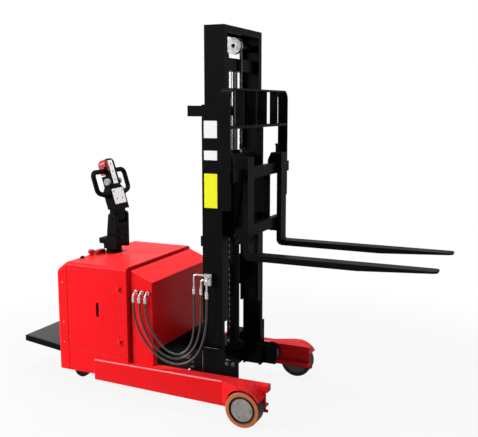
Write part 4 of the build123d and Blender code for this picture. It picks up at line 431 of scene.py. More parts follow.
moulded("black_casting", deep=(0.0040, 0.0040, 0.0044), light=(0.0085, 0.0085, 0.0090),
        smooth=0.40, rough=0.54, grain_scale=500.0, relief=0.35, specular_ior_level=0.02)
moulded("black_plastic", deep=(0.0026, 0.0026, 0.0029), light=(0.0060, 0.0060, 0.0064),
        smooth=0.36, rough=0.50, grain_scale=1100.0, relief=0.30, specular_ior_level=0.02)
moulded("grey_plastic", deep=(0.26, 0.26, 0.27), light=(0.34, 0.34, 0.35),
        smooth=0.42, rough=0.55, grain_scale=1100.0, relief=0.25, specular_ior_level=0.25)
moulded("red_plastic", deep=(0.27, 0.004, 0.008), light=(0.38, 0.007, 0.011),
        smooth=0.30, rough=0.40, grain_scale=1400.0, relief=0.05, specular_ior_level=0.30)
moulded("grey_rubber", deep=(0.052, 0.054, 0.056), light=(0.082, 0.084, 0.085),
        smooth=0.70, rough=0.88, grain_scale=700.0, relief=0.60, specular_ior_level=0.12)
moulded("black_tyre", deep=(0.006, 0.006, 0.006), light=(0.014, 0.014, 0.013),
        smooth=0.60, rough=0.80, grain_scale=600.0, relief=0.50, specular_ior_level=0.03)
moulded("battery_case", deep=(0.035, 0.040, 0.050), light=(0.060, 0.066, 0.078),
        smooth=0.45, rough=0.60, grain_scale=400.0, relief=0.30)
panel_skin = dict(smooth=0.35, rough=0.48, grain_scale=1200.0, relief=0.10, slot="grey_plastic")
moulded("pale_panel", deep=(0.87, 0.87, 0.87), light=(0.93, 0.93, 0.93),
        specular_ior_level=0.20, **panel_skin)
moulded("yellow_panel", deep=(0.86, 0.86, 0.010), light=(0.92, 0.92, 0.016),
        specular_ior_level=0.15, **panel_skin)

scratch_share, metal_patch_share = 0.6, 0.4
metal_grain_scale = 700.0
metal_edge_width = 0.001
bright_edge = rgb(0.85, 0.85, 0.86)
bright_edge_share = 0.5
scratch_depth, scratch_strength = 0.00005, 0.15


def bare_metal(name, deep, light, smooth, rough, scratch, slot=None):
    """Bare metal: scratches drawn out along one way, patches of tone, bright edges."""
    tree, shader = new_finish(name, slot, metallic=1.0)
    stretch = add_node(tree, "Mapping", {"Vector": object_place(tree), "Scale": scratch})
    lines = noise(tree, stretch.outputs["Vector"], 1.0, 3.0, 0.6)
    skin = place_group(tree, fine_grain, scale=metal_grain_scale)
    edge = place_group(tree, edge_wear_and_highlight, width=metal_edge_width)
    scratched = calc(tree, "MULTIPLY", lines, scratch_share)
    tone = calc(tree, "ADD", scratched, calc(tree, "MULTIPLY", skin["Patch"], metal_patch_share))
    colour = mix_colour(tree, spread(tree, tone, patch_low, patch_high), rgb(*deep), rgb(*light))
    colour = mix_colour(tree, calc(tree, "MULTIPLY", edge["Edge"], bright_edge_share), colour, bright_edge)
    gloss = spread(tree, tone, patch_low, patch_high, smooth, rough)
    feed(tree, shader, colour, gloss, lines, scratch_depth, scratch_strength, edge["Normal"])


bare_metal("grey_iron", deep=(0.14, 0.145, 0.155), light=(0.24, 0.245, 0.26),
           smooth=0.48, rough=0.62, scratch=(300.0, 300.0, 300.0))
bare_metal("hydraulic_body", deep=(0.20, 0.21, 0.23), light=(0.32, 0.33, 0.35),
           smooth=0.40, rough=0.55, scratch=(60.0, 60.0, 500.0))
bare_metal("chrome_rod", deep=(0.045, 0.046, 0.050), light=(0.095, 0.097, 0.105),
           smooth=0.14, rough=0.24, scratch=(400.0, 400.0, 30.0))
bare_metal("bright_steel", deep=(0.20, 0.20, 0.205), light=(0.34, 0.34, 0.35),
           smooth=0.28, rough=0.42, scratch=(60.0, 900.0, 60.0))
bare_metal("dark_steel", deep=(0.035, 0.035, 0.037), light=(0.075, 0.075, 0.078),
           smooth=0.30, rough=0.45, scratch=(200.0, 200.0, 200.0), slot="bright_steel")
bare_metal("chain_steel", deep=(0.006, 0.006, 0.006), light=(0.018, 0.017, 0.016),
           smooth=0.36, rough=0.54, scratch=(300.0, 300.0, 300.0))
bare_metal("zinc_fitting", deep=(0.34, 0.34, 0.33), light=(0.52, 0.52, 0.51),
           smooth=0.16, rough=0.28, scratch=(200.0, 200.0, 200.0))

# Load wheels: orange outer side, dark tread and inner side, grey hub with turned rings about the axle
tyre_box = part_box("load_tyre_right")
axle_x = (tyre_box[0].x + tyre_box[1].x) / 2
axle_z = (tyre_box[0].z + tyre_box[1].z) / 2
wheel_radius = (tyre_box[1].z - tyre_box[0].z) / 2
wheel_outer_y = -tyre_box[0].y
wheel_inner_y = -tyre_box[1].y
scuff_depth = 0.003
orange_start_y, orange_end_y = wheel_outer_y - 0.0075, wheel_outer_y - 0.0055
shaded_rim_outside, shaded_rim_inside = 0.0835, 0.0815
hub_rim_start, hub_rim_end = 0.0665, 0.0680
hub_dark_start_y, hub_dark_end_y = wheel_outer_y - 0.030, wheel_outer_y - 0.040
ring_scale = 900.0
ring_share, hub_patch_share = 0.35, 0.65


def side_distance(tree):
    """Distance of a point from the truck's middle plane, in metres."""
    return calc(tree, "ABSOLUTE", add_node(tree, "SeparateXYZ", {0: object_place(tree)}).outputs["Y"])


def axle_distance(tree):
    """Distance of a point from the load wheels' axle, in metres."""
    move = add_node(tree, "Mapping", {"Vector": object_place(tree), "Location": (-axle_x, 0.0, -axle_z)})
    flat = add_node(tree, "VectorMath", {0: move.outputs["Vector"], 1: (1.0, 0.0, 1.0)}, operation="MULTIPLY")
    return add_node(tree, "VectorMath", {0: flat.outputs["Vector"]}, operation="LENGTH").outputs["Value"]


tree, shader = new_finish("orange_tyre", specular_ior_level=0.20)
skin = place_group(tree, fine_grain, scale=450.0, patch_scale=16.0)
scuffed = calc(tree, "SUBTRACT", side_distance(tree), calc(tree, "MULTIPLY", skin["Patch"], scuff_depth))
outer_side = spread(tree, scuffed, orange_start_y, orange_end_y)
side_colour = mix_colour(tree, skin["Patch"], rgb(0.50, 0.125, 0.040), rgb(0.62, 0.185, 0.065))
shaded_rim = spread(tree, axle_distance(tree), shaded_rim_outside, shaded_rim_inside)
side_colour = mix_colour(tree, shaded_rim, side_colour, rgb(0.060, 0.012, 0.007))
tread_colour = mix_colour(tree, skin["Patch"], rgb(0.030, 0.027, 0.024), rgb(0.060, 0.054, 0.046))
feed(tree, shader, mix_colour(tree, outer_side, tread_colour, side_colour),
     spread(tree, outer_side, 0.0, 1.0, 0.75, 0.42), skin["Grain"], depth=grain_depth, strength=0.4)

tree, shader = new_finish("grey_hub", metallic=0.35)
skin = place_group(tree, fine_grain, scale=500.0, patch_scale=22.0)
distance = axle_distance(tree)
rings = add_node(tree, "TexNoise", {"W": distance, "Scale": ring_scale}, noise_dimensions="1D").outputs["Fac"]
ringed = calc(tree, "MULTIPLY", rings, ring_share)
tone = calc(tree, "ADD", ringed, calc(tree, "MULTIPLY", skin["Patch"], hub_patch_share))
tone_share = spread(tree, tone, patch_low, patch_high)
colour = mix_colour(tree, tone_share, rgb(0.20, 0.19, 0.17), rgb(0.31, 0.30, 0.27))
# painted shade: the hub's rim by the groove to the tyre is darkened; the hub is also darker on its inner side
shaded_hub_rim = spread(tree, distance, hub_rim_start, hub_rim_end)
inner_side = spread(tree, side_distance(tree), hub_dark_start_y, hub_dark_end_y)
colour = mix_colour(tree, calc(tree, "MAXIMUM", shaded_hub_rim, inner_side), colour, rgb(0.010, 0.008, 0.007))
feed(tree, shader, colour, spread(tree, tone, patch_low, patch_high, 0.36, 0.52), rings,
     depth=0.0001, strength=0.25)

# Hose rubber: cloth-wrapped cover, its marks follow the hose's own UV
wraps_round, wraps_along = 3.0, 260.0
wrap_share, hose_patch_share = 0.25, 0.75
tree, shader = new_finish("hose_rubber", specular_ior_level=0.45)
wrap_place = add_node(tree, "UVMap", uv_map="UVMap").outputs["UV"]
wrap_scale = add_node(tree, "Mapping", {"Vector": wrap_place, "Scale": (wraps_round, wraps_along, 1.0)})
wrap = add_node(tree, "TexWave", {"Vector": wrap_scale.outputs["Vector"], "Scale": 1.0, "Distortion": 0.6},
                wave_type="BANDS", bands_direction="DIAGONAL").outputs["Fac"]
skin = place_group(tree, fine_grain, scale=600.0, patch_scale=14.0)
wrapped = calc(tree, "MULTIPLY", wrap, wrap_share)
tone = calc(tree, "ADD", wrapped, calc(tree, "MULTIPLY", skin["Patch"], hose_patch_share))
feed(tree, shader, mix_colour(tree, tone, rgb(0.016, 0.015, 0.012), rgb(0.050, 0.046, 0.036)),
     spread(tree, tone, 0.2, 0.8, 0.24, 0.36), wrap, depth=0.0002, strength=0.25)

# Every CAD node takes the finish of its slot, the reach rollers a darker one
darker_rollers = ("reach_rollers_front", "reach_rollers_rear")
for part in frame["record"]["subparts"]:
    mesh = nodes[part["node"]].data
    mesh.materials.clear()
    mesh.materials.append(finishes["dark_steel" if part["node"] in darker_rollers else part["material_slot"]])

# Hydraulic hoses, from the box sleeves down and up again to the mast sleeves
hose_diameter = 0.014
hose_routes = {
    "hose_outer": [
        (-0.40315, -0.425, 0.640), (-0.40315, -0.425, 0.578), (-0.38215, -0.421, 0.492),
        (-0.34215, -0.415, 0.408), (-0.28115, -0.409, 0.338), (-0.20515, -0.404, 0.290),
        (-0.12115, -0.399, 0.276), (-0.04315, -0.394, 0.302), (0.01485, -0.389, 0.358),
        (0.04885, -0.382, 0.440), (0.06585, -0.376, 0.538), (0.06885, -0.372, 0.628),
        (0.06885, -0.372, 0.700),
    ],
    "hose_middle": [
        (-0.36215, -0.425, 0.640), (-0.36215, -0.425, 0.578), (-0.34215, -0.418, 0.492),
        (-0.30515, -0.407, 0.409), (-0.24815, -0.396, 0.340), (-0.17315, -0.383, 0.303),
        (-0.09315, -0.370, 0.312), (-0.03115, -0.358, 0.368), (0.00185, -0.346, 0.455),
        (0.01085, -0.334, 0.553), (0.00985, -0.328, 0.638), (0.00985, -0.328, 0.708),
    ],
    "hose_inner": [
        (-0.32115, -0.425, 0.640), (-0.32115, -0.425, 0.583), (-0.30115, -0.417, 0.506),
        (-0.26515, -0.404, 0.428), (-0.21015, -0.391, 0.358), (-0.14015, -0.376, 0.326),
        (-0.07315, -0.363, 0.355), (-0.03815, -0.350, 0.430), (-0.03315, -0.338, 0.520),
        (-0.03815, -0.328, 0.630), (-0.03815, -0.328, 0.708),
    ],
}


def smooth_line(name, points, resolution=10):
    """Points along the NURBS line that has the given points as its control points."""
    curve = bpy.data.curves.new(name + "_line", "CURVE")
    curve.dimensions = "3D"
    curve.resolution_u = resolution
    line = curve.splines.new("NURBS")
    line.points.add(len(points) - 1)
    for point, place in zip(line.points, points):
        point.co = (*place, 1.0)
    line.order_u = 3
    line.use_endpoint_u = True
    holder = bpy.data.objects.new(name + "_line", curve)
    mesh = bpy.data.meshes.new_from_object(holder)
    places = np.empty(len(mesh.vertices) * 3)
    mesh.vertices.foreach_get("co", places)
    bpy.data.objects.remove(holder)
    bpy.data.curves.remove(curve)
    bpy.data.meshes.remove(mesh)
    return places.reshape(-1, 3)


for name, route in hose_routes.items():
    line = smooth_line(name, route)
    tube = swept(line, circle(hose_diameter / 2, steps=20), y_way)
    hose = add_piece(name + "_tube", [tube], "hose_rubber", replaces=(name,))
    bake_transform(hose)

# Wheels: one side of the profile as (depth from the side, radius), then the same mirrored
right_and_left = (("right", -1.0), ("left", 1.0))
shoulder_bend = np.linspace(0.0, pi / 2, 6)
wheel_shoulder = 0.006
wheel_steps = 72
caster_steps = 48


def wheel_profile(side_points, radius, width):
    """A wheel's closed section: points on one side, a round shoulder, the tread, and the same mirrored."""
    depth = wheel_shoulder * (1 - np.cos(shoulder_bend))
    drop = wheel_shoulder * (1 - np.sin(shoulder_bend))
    bend = np.stack([depth, radius - drop], -1)
    half = np.concatenate([np.asarray(side_points, float), bend])
    return np.concatenate([half, half[::-1] * (-1.0, 1.0) + (width, 0.0)])


def add_black_wheel(name, node, body, section, steps):
    """A black wheel in the place of a CAD wheel, turned about its axle."""
    start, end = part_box(node)
    middle = (start + end) / 2
    ring = turned(section, (middle.x, start.y, middle.z), y_way, steps, closed=True)
    add_piece(name, [ring], "black_tyre", body, [node])


tyre_side = [(0.0025, 0.078), (0.0, 0.0805), (0.0, 0.090), (0.0006, 0.092), (0.0, 0.094)]
tyre_section = wheel_profile(tyre_side, wheel_radius, wheel_outer_y - wheel_inner_y)
caster_side = [(0.002, 0.0085), (0.002, 0.015), (0.007, 0.018), (0.007, 0.036), (0.0, 0.040)]
caster_section = wheel_profile(caster_side, radius=0.0575, width=0.040)
for word, side in right_and_left:
    tyre_start = (axle_x, side * wheel_inner_y, axle_z)
    tyre_ring = turned(tyre_section, tyre_start, (0.0, side, 0.0), wheel_steps, closed=True)
    add_piece("load_tyre_ring_" + word, [tyre_ring], "orange_tyre", "load_roll_" + word,
              ["load_tyre_" + word])
    add_black_wheel("caster_roller_" + word, "caster_wheel_" + word, "caster_roll_" + word, caster_section,
                    caster_steps)
drive_side = [(0.003, 0.0205), (0.003, 0.045), (0.010, 0.050), (0.010, 0.080), (0.0, 0.086)]
drive_section = wheel_profile(drive_side, radius=0.115, width=0.074)
add_black_wheel("drive_tyre", "drive_wheel", "drive_roll", drive_section, wheel_steps)

# Platform mat with ribs from front to rear, climbing with the deck
mat_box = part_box("platform_mat")
mat_rise = 0.114754
mat_thickness = 0.009
mat_rib_pitch = 0.008
mat_rib_height = 0.0016
mat_rib_shape = np.array([(0.0, 0.0), (0.20, 0.0), (0.32, 1.0), (0.76, 1.0), (0.88, 0.0)])


def ribbed_mat():
    """A ribbed section of (y, height) carried along X.

    A rib repeats every pitch: low, up, high, down. Both end rows drop to the underside, which
    closes the ends. Height above the floor = underside at the front + rise * way to the rear.
    """
    half = -mat_box[0].y
    count = int(2 * half / mat_rib_pitch)
    start = -count * mat_rib_pitch / 2
    y = (start + mat_rib_pitch * (np.arange(count)[:, None] + mat_rib_shape[:, 0])).ravel()
    top = np.tile(mat_thickness - mat_rib_height * (1 - mat_rib_shape[:, 1]), count)
    y = np.concatenate([[-half, -half], y, [half, half]])
    low = mat_thickness - mat_rib_height
    top = np.concatenate([[0.0, low], top, [low, 0.0]])
    x = np.array([mat_box[0].x, mat_box[0].x, mat_box[1].x, mat_box[1].x])
    share = np.array([0.0, 1.0, 1.0, 0.0])
    under = mat_box[0].z + mat_rise * (mat_box[1].x - x)
    grid = np.empty((4, len(y), 3))
    grid[:, :, 0] = x[:, None]
    grid[:, :, 1] = y
    grid[:, :, 2] = under[:, None] + share[:, None] * top
    return grid, False, True


add_piece("ribbed_mat", [ribbed_mat()], "grey_rubber", "platform", ["platform_mat"])

# Control head: ribbed throttle wings, bare pale panels with small dark buttons, a red plate at the top
head_lean = radians(17.0)
head_foot = np.array([-0.77815, 0.0, 1.140])
head_up = np.array([-sin(head_lean), 0.0, cos(head_lean)])
head_out = np.array([cos(head_lean), 0.0, sin(head_lean)])
head_face = 0.030


def head_place(y, up, out=head_face):
    """A place on the control head: across, up along it, and out from its middle plane."""
    return head_foot + (0.0, y, 0.0) + up * head_up + out * head_out


wing_section = [
    (0.0525, 0.0), (0.0525, 0.0085), (0.0532, 0.0085), (0.0532, 0.0215), (0.0556, 0.024),
    (0.0715, 0.024), (0.074, 0.0215), (0.074, 0.010), (0.0725, 0.008), (0.0725, 0.0),
]
wing_place = head_place(0.0, 0.185, 0.014)
wings = [turned(wing_section, wing_place, (0.0, side, 0.0), steps=96, teeth=16, tooth=0.0022)
         for word, side in right_and_left]
add_piece("throttle_wings", wings, "grey_plastic", "thumb_throttle", ["throttle"])
panel_thickness = 0.0012
panel_bevel = 0.0004
panel_y = 0.004


def head_plate(y, up, half_width, half_height, corner):
    """A thin plate on the front face of the control head."""
    place = head_place(y, up)
    return plates(place, y_way, head_up, half_width, half_height, corner, panel_thickness, panel_bevel)


upper_panel = head_plate(panel_y, 0.2475, half_width=0.0255, half_height=0.0805, corner=0.006)
lower_panel = head_plate(0.0, 0.082, half_width=0.066, half_height=0.052, corner=0.008)
brow = head_plate(-0.0362, 0.294, half_width=0.0135, half_height=0.036, corner=0.010)
add_piece("head_panels", [upper_panel, lower_panel], "pale_panel", "tiller")
add_piece("head_brow_plate", [brow], "red_plastic", "tiller")
button_section = [(0.0, 0.0), (0.0, 0.0042), (0.0016, 0.0042), (0.0026, 0.0034), (0.0028, 0.0)]
button_places = [(panel_y, 0.302), (panel_y, 0.251), (panel_y, 0.196),
                 (-0.050, 0.118), (0.050, 0.118), (-0.030, 0.066), (0.030, 0.066)]
buttons = [head_place(y, up, head_face + panel_thickness) for y, up in button_places]
add_piece("head_buttons", [turned(button_section, buttons, head_out, steps=16)], "black_plastic", "tiller")

# Bare plates on the right mast channel: two pale, one yellow
mast_face_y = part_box("mast_fittings")[1].y
plate_left, plate_right = 0.027, 0.112
plate_corner = 0.003
plate_thickness = 0.0010
plate_bevel = 0.0003


def mast_plate(bottom, top):
    """A bare plate on the outer face of the right mast channel, between two heights."""
    place = ((plate_left + plate_right) / 2, mast_face_y, (bottom + top) / 2)
    half_u, half_v = (plate_right - plate_left) / 2, (top - bottom) / 2
    return plates(place, x_way, upright, half_u, half_v, plate_corner, plate_thickness, plate_bevel)


pale_plates = [mast_plate(bottom=1.637, top=1.736), mast_plate(bottom=1.510, top=1.565)]
add_piece("pale_mast_plates", pale_plates, "pale_panel", "mast_base")
add_piece("yellow_mast_plate", [mast_plate(bottom=1.231, top=1.432)], "yellow_panel", "mast_base")

# Leaf chains: plates that overlap by turns on common pins
chain_pitch = 0.01905
chain_half_height = 0.0068
chain_waist = 0.0054
plate_half = 0.0009
plate_rows_even = np.array([-0.006, -0.002, 0.002, 0.006])
plate_rows_odd = np.array([-0.008, -0.004, 0.0, 0.004, 0.008])
end_turn = np.radians([-72.0, -36.0, 0.0, 36.0, 72.0])
chain_pin_section = [(-0.009, 0.0), (-0.009, 0.0026), (0.009, 0.0026), (0.009, 0.0)]


def chain_plates(start, end, rows):
    """Chain plates from each start pin to its end pin, at the given places across.

    Outline: a round end about each pin and a waist between them. Each plate is four rows: middle
    of one face, its rim, the other rim, the other middle.
    """
    ahead = unit(end - start)
    over = np.cross(ahead, y_way)
    half = np.linalg.norm(end - start, axis=-1) / 2
    along = np.concatenate([np.cos(end_turn), [0.0], -np.cos(end_turn), [0.0]]) * chain_half_height
    reach = np.concatenate([np.ones_like(end_turn), [0.0], -np.ones_like(end_turn), [0.0]])
    up = np.concatenate([np.sin(end_turn) * chain_half_height, [chain_waist],
                         -np.sin(end_turn) * chain_half_height, [-chain_waist]])
    along = along + reach * half[:, None]
    rim = along[..., None] * ahead[:, None] + up[:, None] * over[:, None]
    middle = (start + end)[:, None, None, None] / 2
    scale = np.array([0.0, 1.0, 1.0, 0.0])[:, None, None]
    depth = np.array([-1.0, -1.0, 1.0, 1.0])[:, None, None] * plate_half * np.asarray(y_way)
    grid = middle + rows[:, None, None, None] * np.asarray(y_way) + scale * rim[:, None, None] + depth
    return grid.reshape(-1, 4, len(up), 3), False, True


def leaf_chain(pins):
    """The plates of every other link, those between them, and the pins."""
    plates_even = chain_plates(pins[:-1:2], pins[1::2], plate_rows_even)
    plates_odd = chain_plates(pins[1:-1:2], pins[2::2], plate_rows_odd)
    return [plates_even, plates_odd, turned(chain_pin_section, pins, y_way, steps=8)]


pulley_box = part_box("chain_pulley")
pulley_middle = (pulley_box[0] + pulley_box[1]) / 2
chain_radius = 0.044
front_chain_foot = 1.590
rear_chain_foot = 0.390


def chain_line(distance):
    """Places along the front chain: straight up from its foot, then half round the pulley."""
    rise = pulley_middle.z - front_chain_foot
    turn = np.clip((distance - rise) / chain_radius, 0.0, pi)
    x = pulley_middle.x + chain_radius * np.cos(turn)
    z = np.where(distance < rise, front_chain_foot + distance, pulley_middle.z + chain_radius * np.sin(turn))
    return np.stack([x, np.zeros_like(x), z], -1)


front_length = pulley_middle.z - front_chain_foot + pi * chain_radius
front_links = 2 * round(front_length / chain_pitch / 2)
rear_length = pulley_middle.z - rear_chain_foot
rear_links = 2 * round(rear_length / chain_pitch / 2)
front_pins = chain_line(np.linspace(0.0, front_length, front_links + 1))
rear_pins = np.linspace((pulley_middle.x - chain_radius, 0.0, pulley_middle.z),
                        (pulley_middle.x - chain_radius, 0.0, rear_chain_foot), rear_links + 1)
front_chain = add_piece("front_leaf_chain", leaf_chain(front_pins), "chain_steel",
                        replaces=["lift_chain_front"])
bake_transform(front_chain)
rear_chain = add_piece("rear_leaf_chain", leaf_chain(rear_pins), "chain_steel", replaces=["lift_chain_rear"])
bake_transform(rear_chain)

# Fasteners
washer_thickness = 0.0018
washer_share = 0.62
chamfer_start, chamfer_share = 0.8, 0.84
washer_edge_start, washer_edge_share = 0.8, 0.94
dome_turn = radians(60.0)
dome_draw = 0.55
socket_mouth, socket_floor = 0.40, 0.36
socket_level = 0.35


def hex_heads(places, axis, across_corners, height):
    """Hexagon heads: six flat sides with a turned chamfer on top."""
    radius = across_corners / 2
    chamfer = [(chamfer_start * height, radius), (height, chamfer_share * radius)]
    return turned([(0.0, 0.0), (0.0, radius), *chamfer, (height, 0.0)], places, axis, steps=6)


def washers(places, axis, radius, thickness):
    """Flat washers."""
    edge = [(washer_edge_start * thickness, radius), (thickness, washer_edge_share * radius)]
    return turned([(0.0, 0.0), (0.0, radius), *edge, (thickness, 0.0)], places, axis, steps=24)


def round_heads(places, axis, radius, height):
    """Round screw heads with a socket."""
    bend = np.linspace(0.0, dome_turn, 5)
    rise = height * np.sin(bend) / sin(dome_turn)
    reach = radius * (1 - dome_draw * (1 - np.cos(bend)) / (1 - cos(dome_turn)))
    floor_height = socket_level * height
    socket = [(height, socket_mouth * radius), (floor_height, socket_floor * radius), (floor_height, 0.0)]
    return turned([(0.0, 0.0), *zip(rise, reach), *socket], places, axis, steps=20)


def bolts(name, places, axis, across_corners, height, finish, body):
    """Hexagon heads on washers, standing on their places."""
    places = np.asarray(places, float)
    heads = hex_heads(places + washer_thickness * unit(axis), axis, across_corners, height)
    under = washers(places, axis, washer_share * across_corners, washer_thickness)
    add_piece(name, [under, heads], finish, body)


hood_side_y = 0.410
cover_screw_x = -0.945
cover_screw_heights = (0.705, 0.445, 0.312)
for word, side in right_and_left:
    places = [(cover_screw_x, side * hood_side_y, z) for z in cover_screw_heights]
    screws = round_heads(places, (0.0, side, 0.0), radius=0.005, height=0.003)
    add_piece("cover_screws_" + word, [screws], "bright_steel", "chassis")
carriage_side_y = 0.342
nose_bolts = [(0.185, 0.310), (0.225, 0.310)]
beam_bolts = [(-0.045, 0.290), (-0.045, 0.255)]
carriage_bolt_corners, carriage_bolt_height = 0.021, 0.002
for (word, side), bolt_places in zip(right_and_left, (nose_bolts + beam_bolts, beam_bolts)):
    places = [(x, side * carriage_side_y, z) for x, z in bolt_places]
    bolts("carriage_bolts_" + word, places, (0.0, side, 0.0), carriage_bolt_corners, carriage_bolt_height,
          "dark_steel", "mast_base")
steer_front_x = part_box("tiller_base")[1].x
steer_half_width = 0.080
steer_bolt_corners = 0.016
steer_bolt_height = 0.007
front_bolt_y, front_bolt_z = (-0.045, 0.045), (0.955, 1.000)
cheek_bolt_x, cheek_bolt_z = (-0.805, -0.772), 0.975
places = [(steer_front_x, y, z) for y in front_bolt_y for z in front_bolt_z]
bolts("steer_front_bolts", places, x_way, steer_bolt_corners, steer_bolt_height, "black_casting", "steering")
for word, side in right_and_left:
    places = [(x, side * steer_half_width, cheek_bolt_z) for x in cheek_bolt_x]
    bolts("steer_cheek_bolts_" + word, places, (0.0, side, 0.0), steer_bolt_corners, steer_bolt_height,
          "black_casting", "steering")

# Strips over the folds along the legs' outer top edges, in pale pink paint: a painted highlight
leg_side_y, leg_top = 0.430, 0.236
leg_fold_ends = (-0.700, 0.190)
leg_fold_radius = 0.008
leg_fold_lift = 0.0003
leg_fold_steps = 24
fold_turn = np.radians([4.0, 18.0, 32.0, 45.0, 58.0, 72.0, 86.0])
fold_arc = (leg_fold_radius + leg_fold_lift) * np.stack([np.cos(fold_turn), np.sin(fold_turn)], -1)
fold_middle = fold_arc.mean(axis=0)
for word, side in right_and_left:
    fold_x = np.linspace(*leg_fold_ends[::-int(side)], leg_fold_steps)
    fold_y = np.full(leg_fold_steps, side * (leg_side_y - leg_fold_radius + fold_middle[0]))
    fold_z = np.full(leg_fold_steps, leg_top - leg_fold_radius + fold_middle[1])
    fold = swept(np.column_stack([fold_x, fold_y, fold_z]), fold_arc - fold_middle, upright)
    add_piece("leg_fold_highlight_" + word, [fold], "highlight_red", "chassis")

# Thin bright strips along the edges of the reach carriage's plates: painted highlights, drawn as worn bare
# metal
strip_thickness = 0.0008
strip_bevel = 0.0003
strip_half_width = 0.0055
strip_corner = 0.002
top_strips = (
    ((0.0825, -0.335, 0.393), 0.045),
    ((0.190, -0.335, 0.333), 0.014),
    ((0.165, 0.335, 0.243), 0.022),
)
highlight_strips = []
for place, half_length in top_strips:
    highlight_strips.append(plates(place, x_way, y_way, half_length, strip_half_width, strip_corner,
                              strip_thickness, strip_bevel))
side_place = (0.025, -carriage_side_y, 0.305)
highlight_strips.append(plates(side_place, x_way, upright, half_u=0.0008, half_v=0.064, corner=0.0006,
                          thickness=strip_thickness, bevel=strip_bevel))
add_piece("carriage_highlight_strips", highlight_strips, "zinc_fitting", "mast_base")

# Hose fittings: hexagon nuts on the box side, nuts and crimped rings on the sleeves
box_side_y = -0.385
outlet_height = 0.696
outlet_places = [-0.40315, -0.36215, -0.32115]
outlet_line_y = -0.425
crimp_section = [(0.0, 0.0), (0.0, 0.0112), (0.0012, 0.0118), (0.0088, 0.0118), (0.010, 0.0112), (0.010, 0.0)]
crimp_rises = (0.003, 0.018)
outlet_nut_corners, outlet_nut_height = 0.0284, 0.0125
box_sleeve_bottom, box_sleeve_top = 0.640, 0.672
mast_sleeve_length = 0.038
nut_corners = 0.021
sleeve_nut_height = 0.009
pipe_nut_height = 0.008


def sleeve_trim(x, y, bottom, top):
    """A nut over a sleeve's upper end and two crimped rings round it."""
    rings = [(x, y, bottom + rise) for rise in crimp_rises]
    nut = hex_heads((x, y, top), upright, nut_corners, sleeve_nut_height)
    return [turned(crimp_section, rings, upright, steps=10), nut]


to_the_right = (0.0, -1.0, 0.0)
to_the_rear = (-1.0, 0.0, 0.0)
outlets = [(x, box_side_y, outlet_height) for x in outlet_places]
trim = [hex_heads(outlets, to_the_right, outlet_nut_corners, outlet_nut_height)]
for x in outlet_places:
    trim += sleeve_trim(x, outlet_line_y, box_sleeve_bottom, box_sleeve_top)
add_piece("box_hose_nuts", trim, "zinc_fitting", "chassis")
mast_sleeves = [(0.06885, -0.372, 0.700), (0.00985, -0.328, 0.708), (-0.03815, -0.328, 0.708)]
trim = []
for x, y, bottom in mast_sleeves:
    trim += sleeve_trim(x, y, bottom, bottom + mast_sleeve_length)
front_pipe = [(0.06885, -0.340, 0.820)]
trim.append(hex_heads(front_pipe, to_the_right, nut_corners, pipe_nut_height))
rear_pipes = [(0.03685, -0.328, 0.800), (0.03685, -0.328, 0.828)]
trim.append(hex_heads(rear_pipes, to_the_rear, nut_corners, pipe_nut_height))
add_piece("mast_hose_nuts", trim, "zinc_fitting", "mast_base")

# Chain anchors: nuts and a threaded end
anchor_front_x = pulley_middle.x + chain_radius
anchor_rear_x = pulley_middle.x - chain_radius
anchor_nut = (0.017, 0.008)
lock_nut = (0.016, 0.008)
thread_section = [(0.0, 0.0), (0.0, 0.0045), (0.016, 0.0045), (0.018, 0.0035), (0.018, 0.0)]
lock_nut_place = (anchor_front_x, 0.0, 1.510)
thread_place = (anchor_front_x, 0.0, 1.504)
front_nuts = [(anchor_front_x, 0.0, 1.540), (anchor_front_x, 0.0, 1.549)]
rear_nuts = [(anchor_rear_x, 0.0, 0.318), (anchor_rear_x, 0.0, 0.328)]
add_piece("front_anchor_nuts",
          [hex_heads(front_nuts, upright, *anchor_nut),
           hex_heads(lock_nut_place, downright, *lock_nut),
           turned(thread_section, thread_place, downright, steps=16)],
          "zinc_fitting", "carriage")
add_piece("rear_anchor_nuts", [hex_heads(rear_nuts, upright, *anchor_nut)], "zinc_fitting", "mast_base")

# Seam of the rear cover: a dark strip over both sides and the top
seam_x = -0.91115
seam_top = 0.8405
seam_foot = 0.140
seam_corner = 0.024
seam_turn = np.linspace(0.0, pi / 2, 10)
right_bend = np.stack([-hood_side_y + seam_corner * (1 - np.cos(seam_turn)),
                       seam_top - seam_corner * (1 - np.sin(seam_turn))], -1)
left_bend = right_bend[::-1] * (-1.0, 1.0)
seam_line = np.concatenate([[(-hood_side_y, seam_foot)], right_bend, left_bend, [(hood_side_y, seam_foot)]])
seam_path = np.column_stack([np.full(len(seam_line), seam_x), seam_line])
seam_section = np.array([(-0.0005, -0.0011), (0.0004, -0.0011), (0.0004, 0.0011), (-0.0005, 0.0011)])
add_piece("cover_seam", [swept(seam_path, seam_section, x_way)], "black_plastic", "chassis")

# Battery lids, filler caps, posts and links, seen when the side door is open
battery_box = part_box("battery")
battery_top = battery_box[1].z
cell_rows, cell_columns = 6, 2
battery_size = battery_box[1] - battery_box[0]
cell_x = battery_box[0].x + battery_size.x * (np.arange(cell_columns) + 0.5) / cell_columns
cell_y = battery_box[0].y + battery_size.y * (np.arange(cell_rows) + 0.5) / cell_rows
cells = np.stack(np.meshgrid(cell_x, cell_y, [battery_top], indexing="ij"), -1).reshape(-1, 3)
lid_height = 0.010
lid_top = cells + (0.0, 0.0, lid_height)
cap_section = [(0.0, 0.0), (0.0, 0.015), (0.010, 0.015), (0.013, 0.012), (0.013, 0.0)]
post_section = [(0.0, 0.0), (0.0, 0.008), (0.011, 0.007), (0.012, 0.006), (0.012, 0.0)]
lids = plates(cells, x_way, y_way, half_u=0.048, half_v=0.052, corner=0.010,
              thickness=lid_height, bevel=0.003)
add_piece("battery_lids", [lids], "battery_case", "chassis")
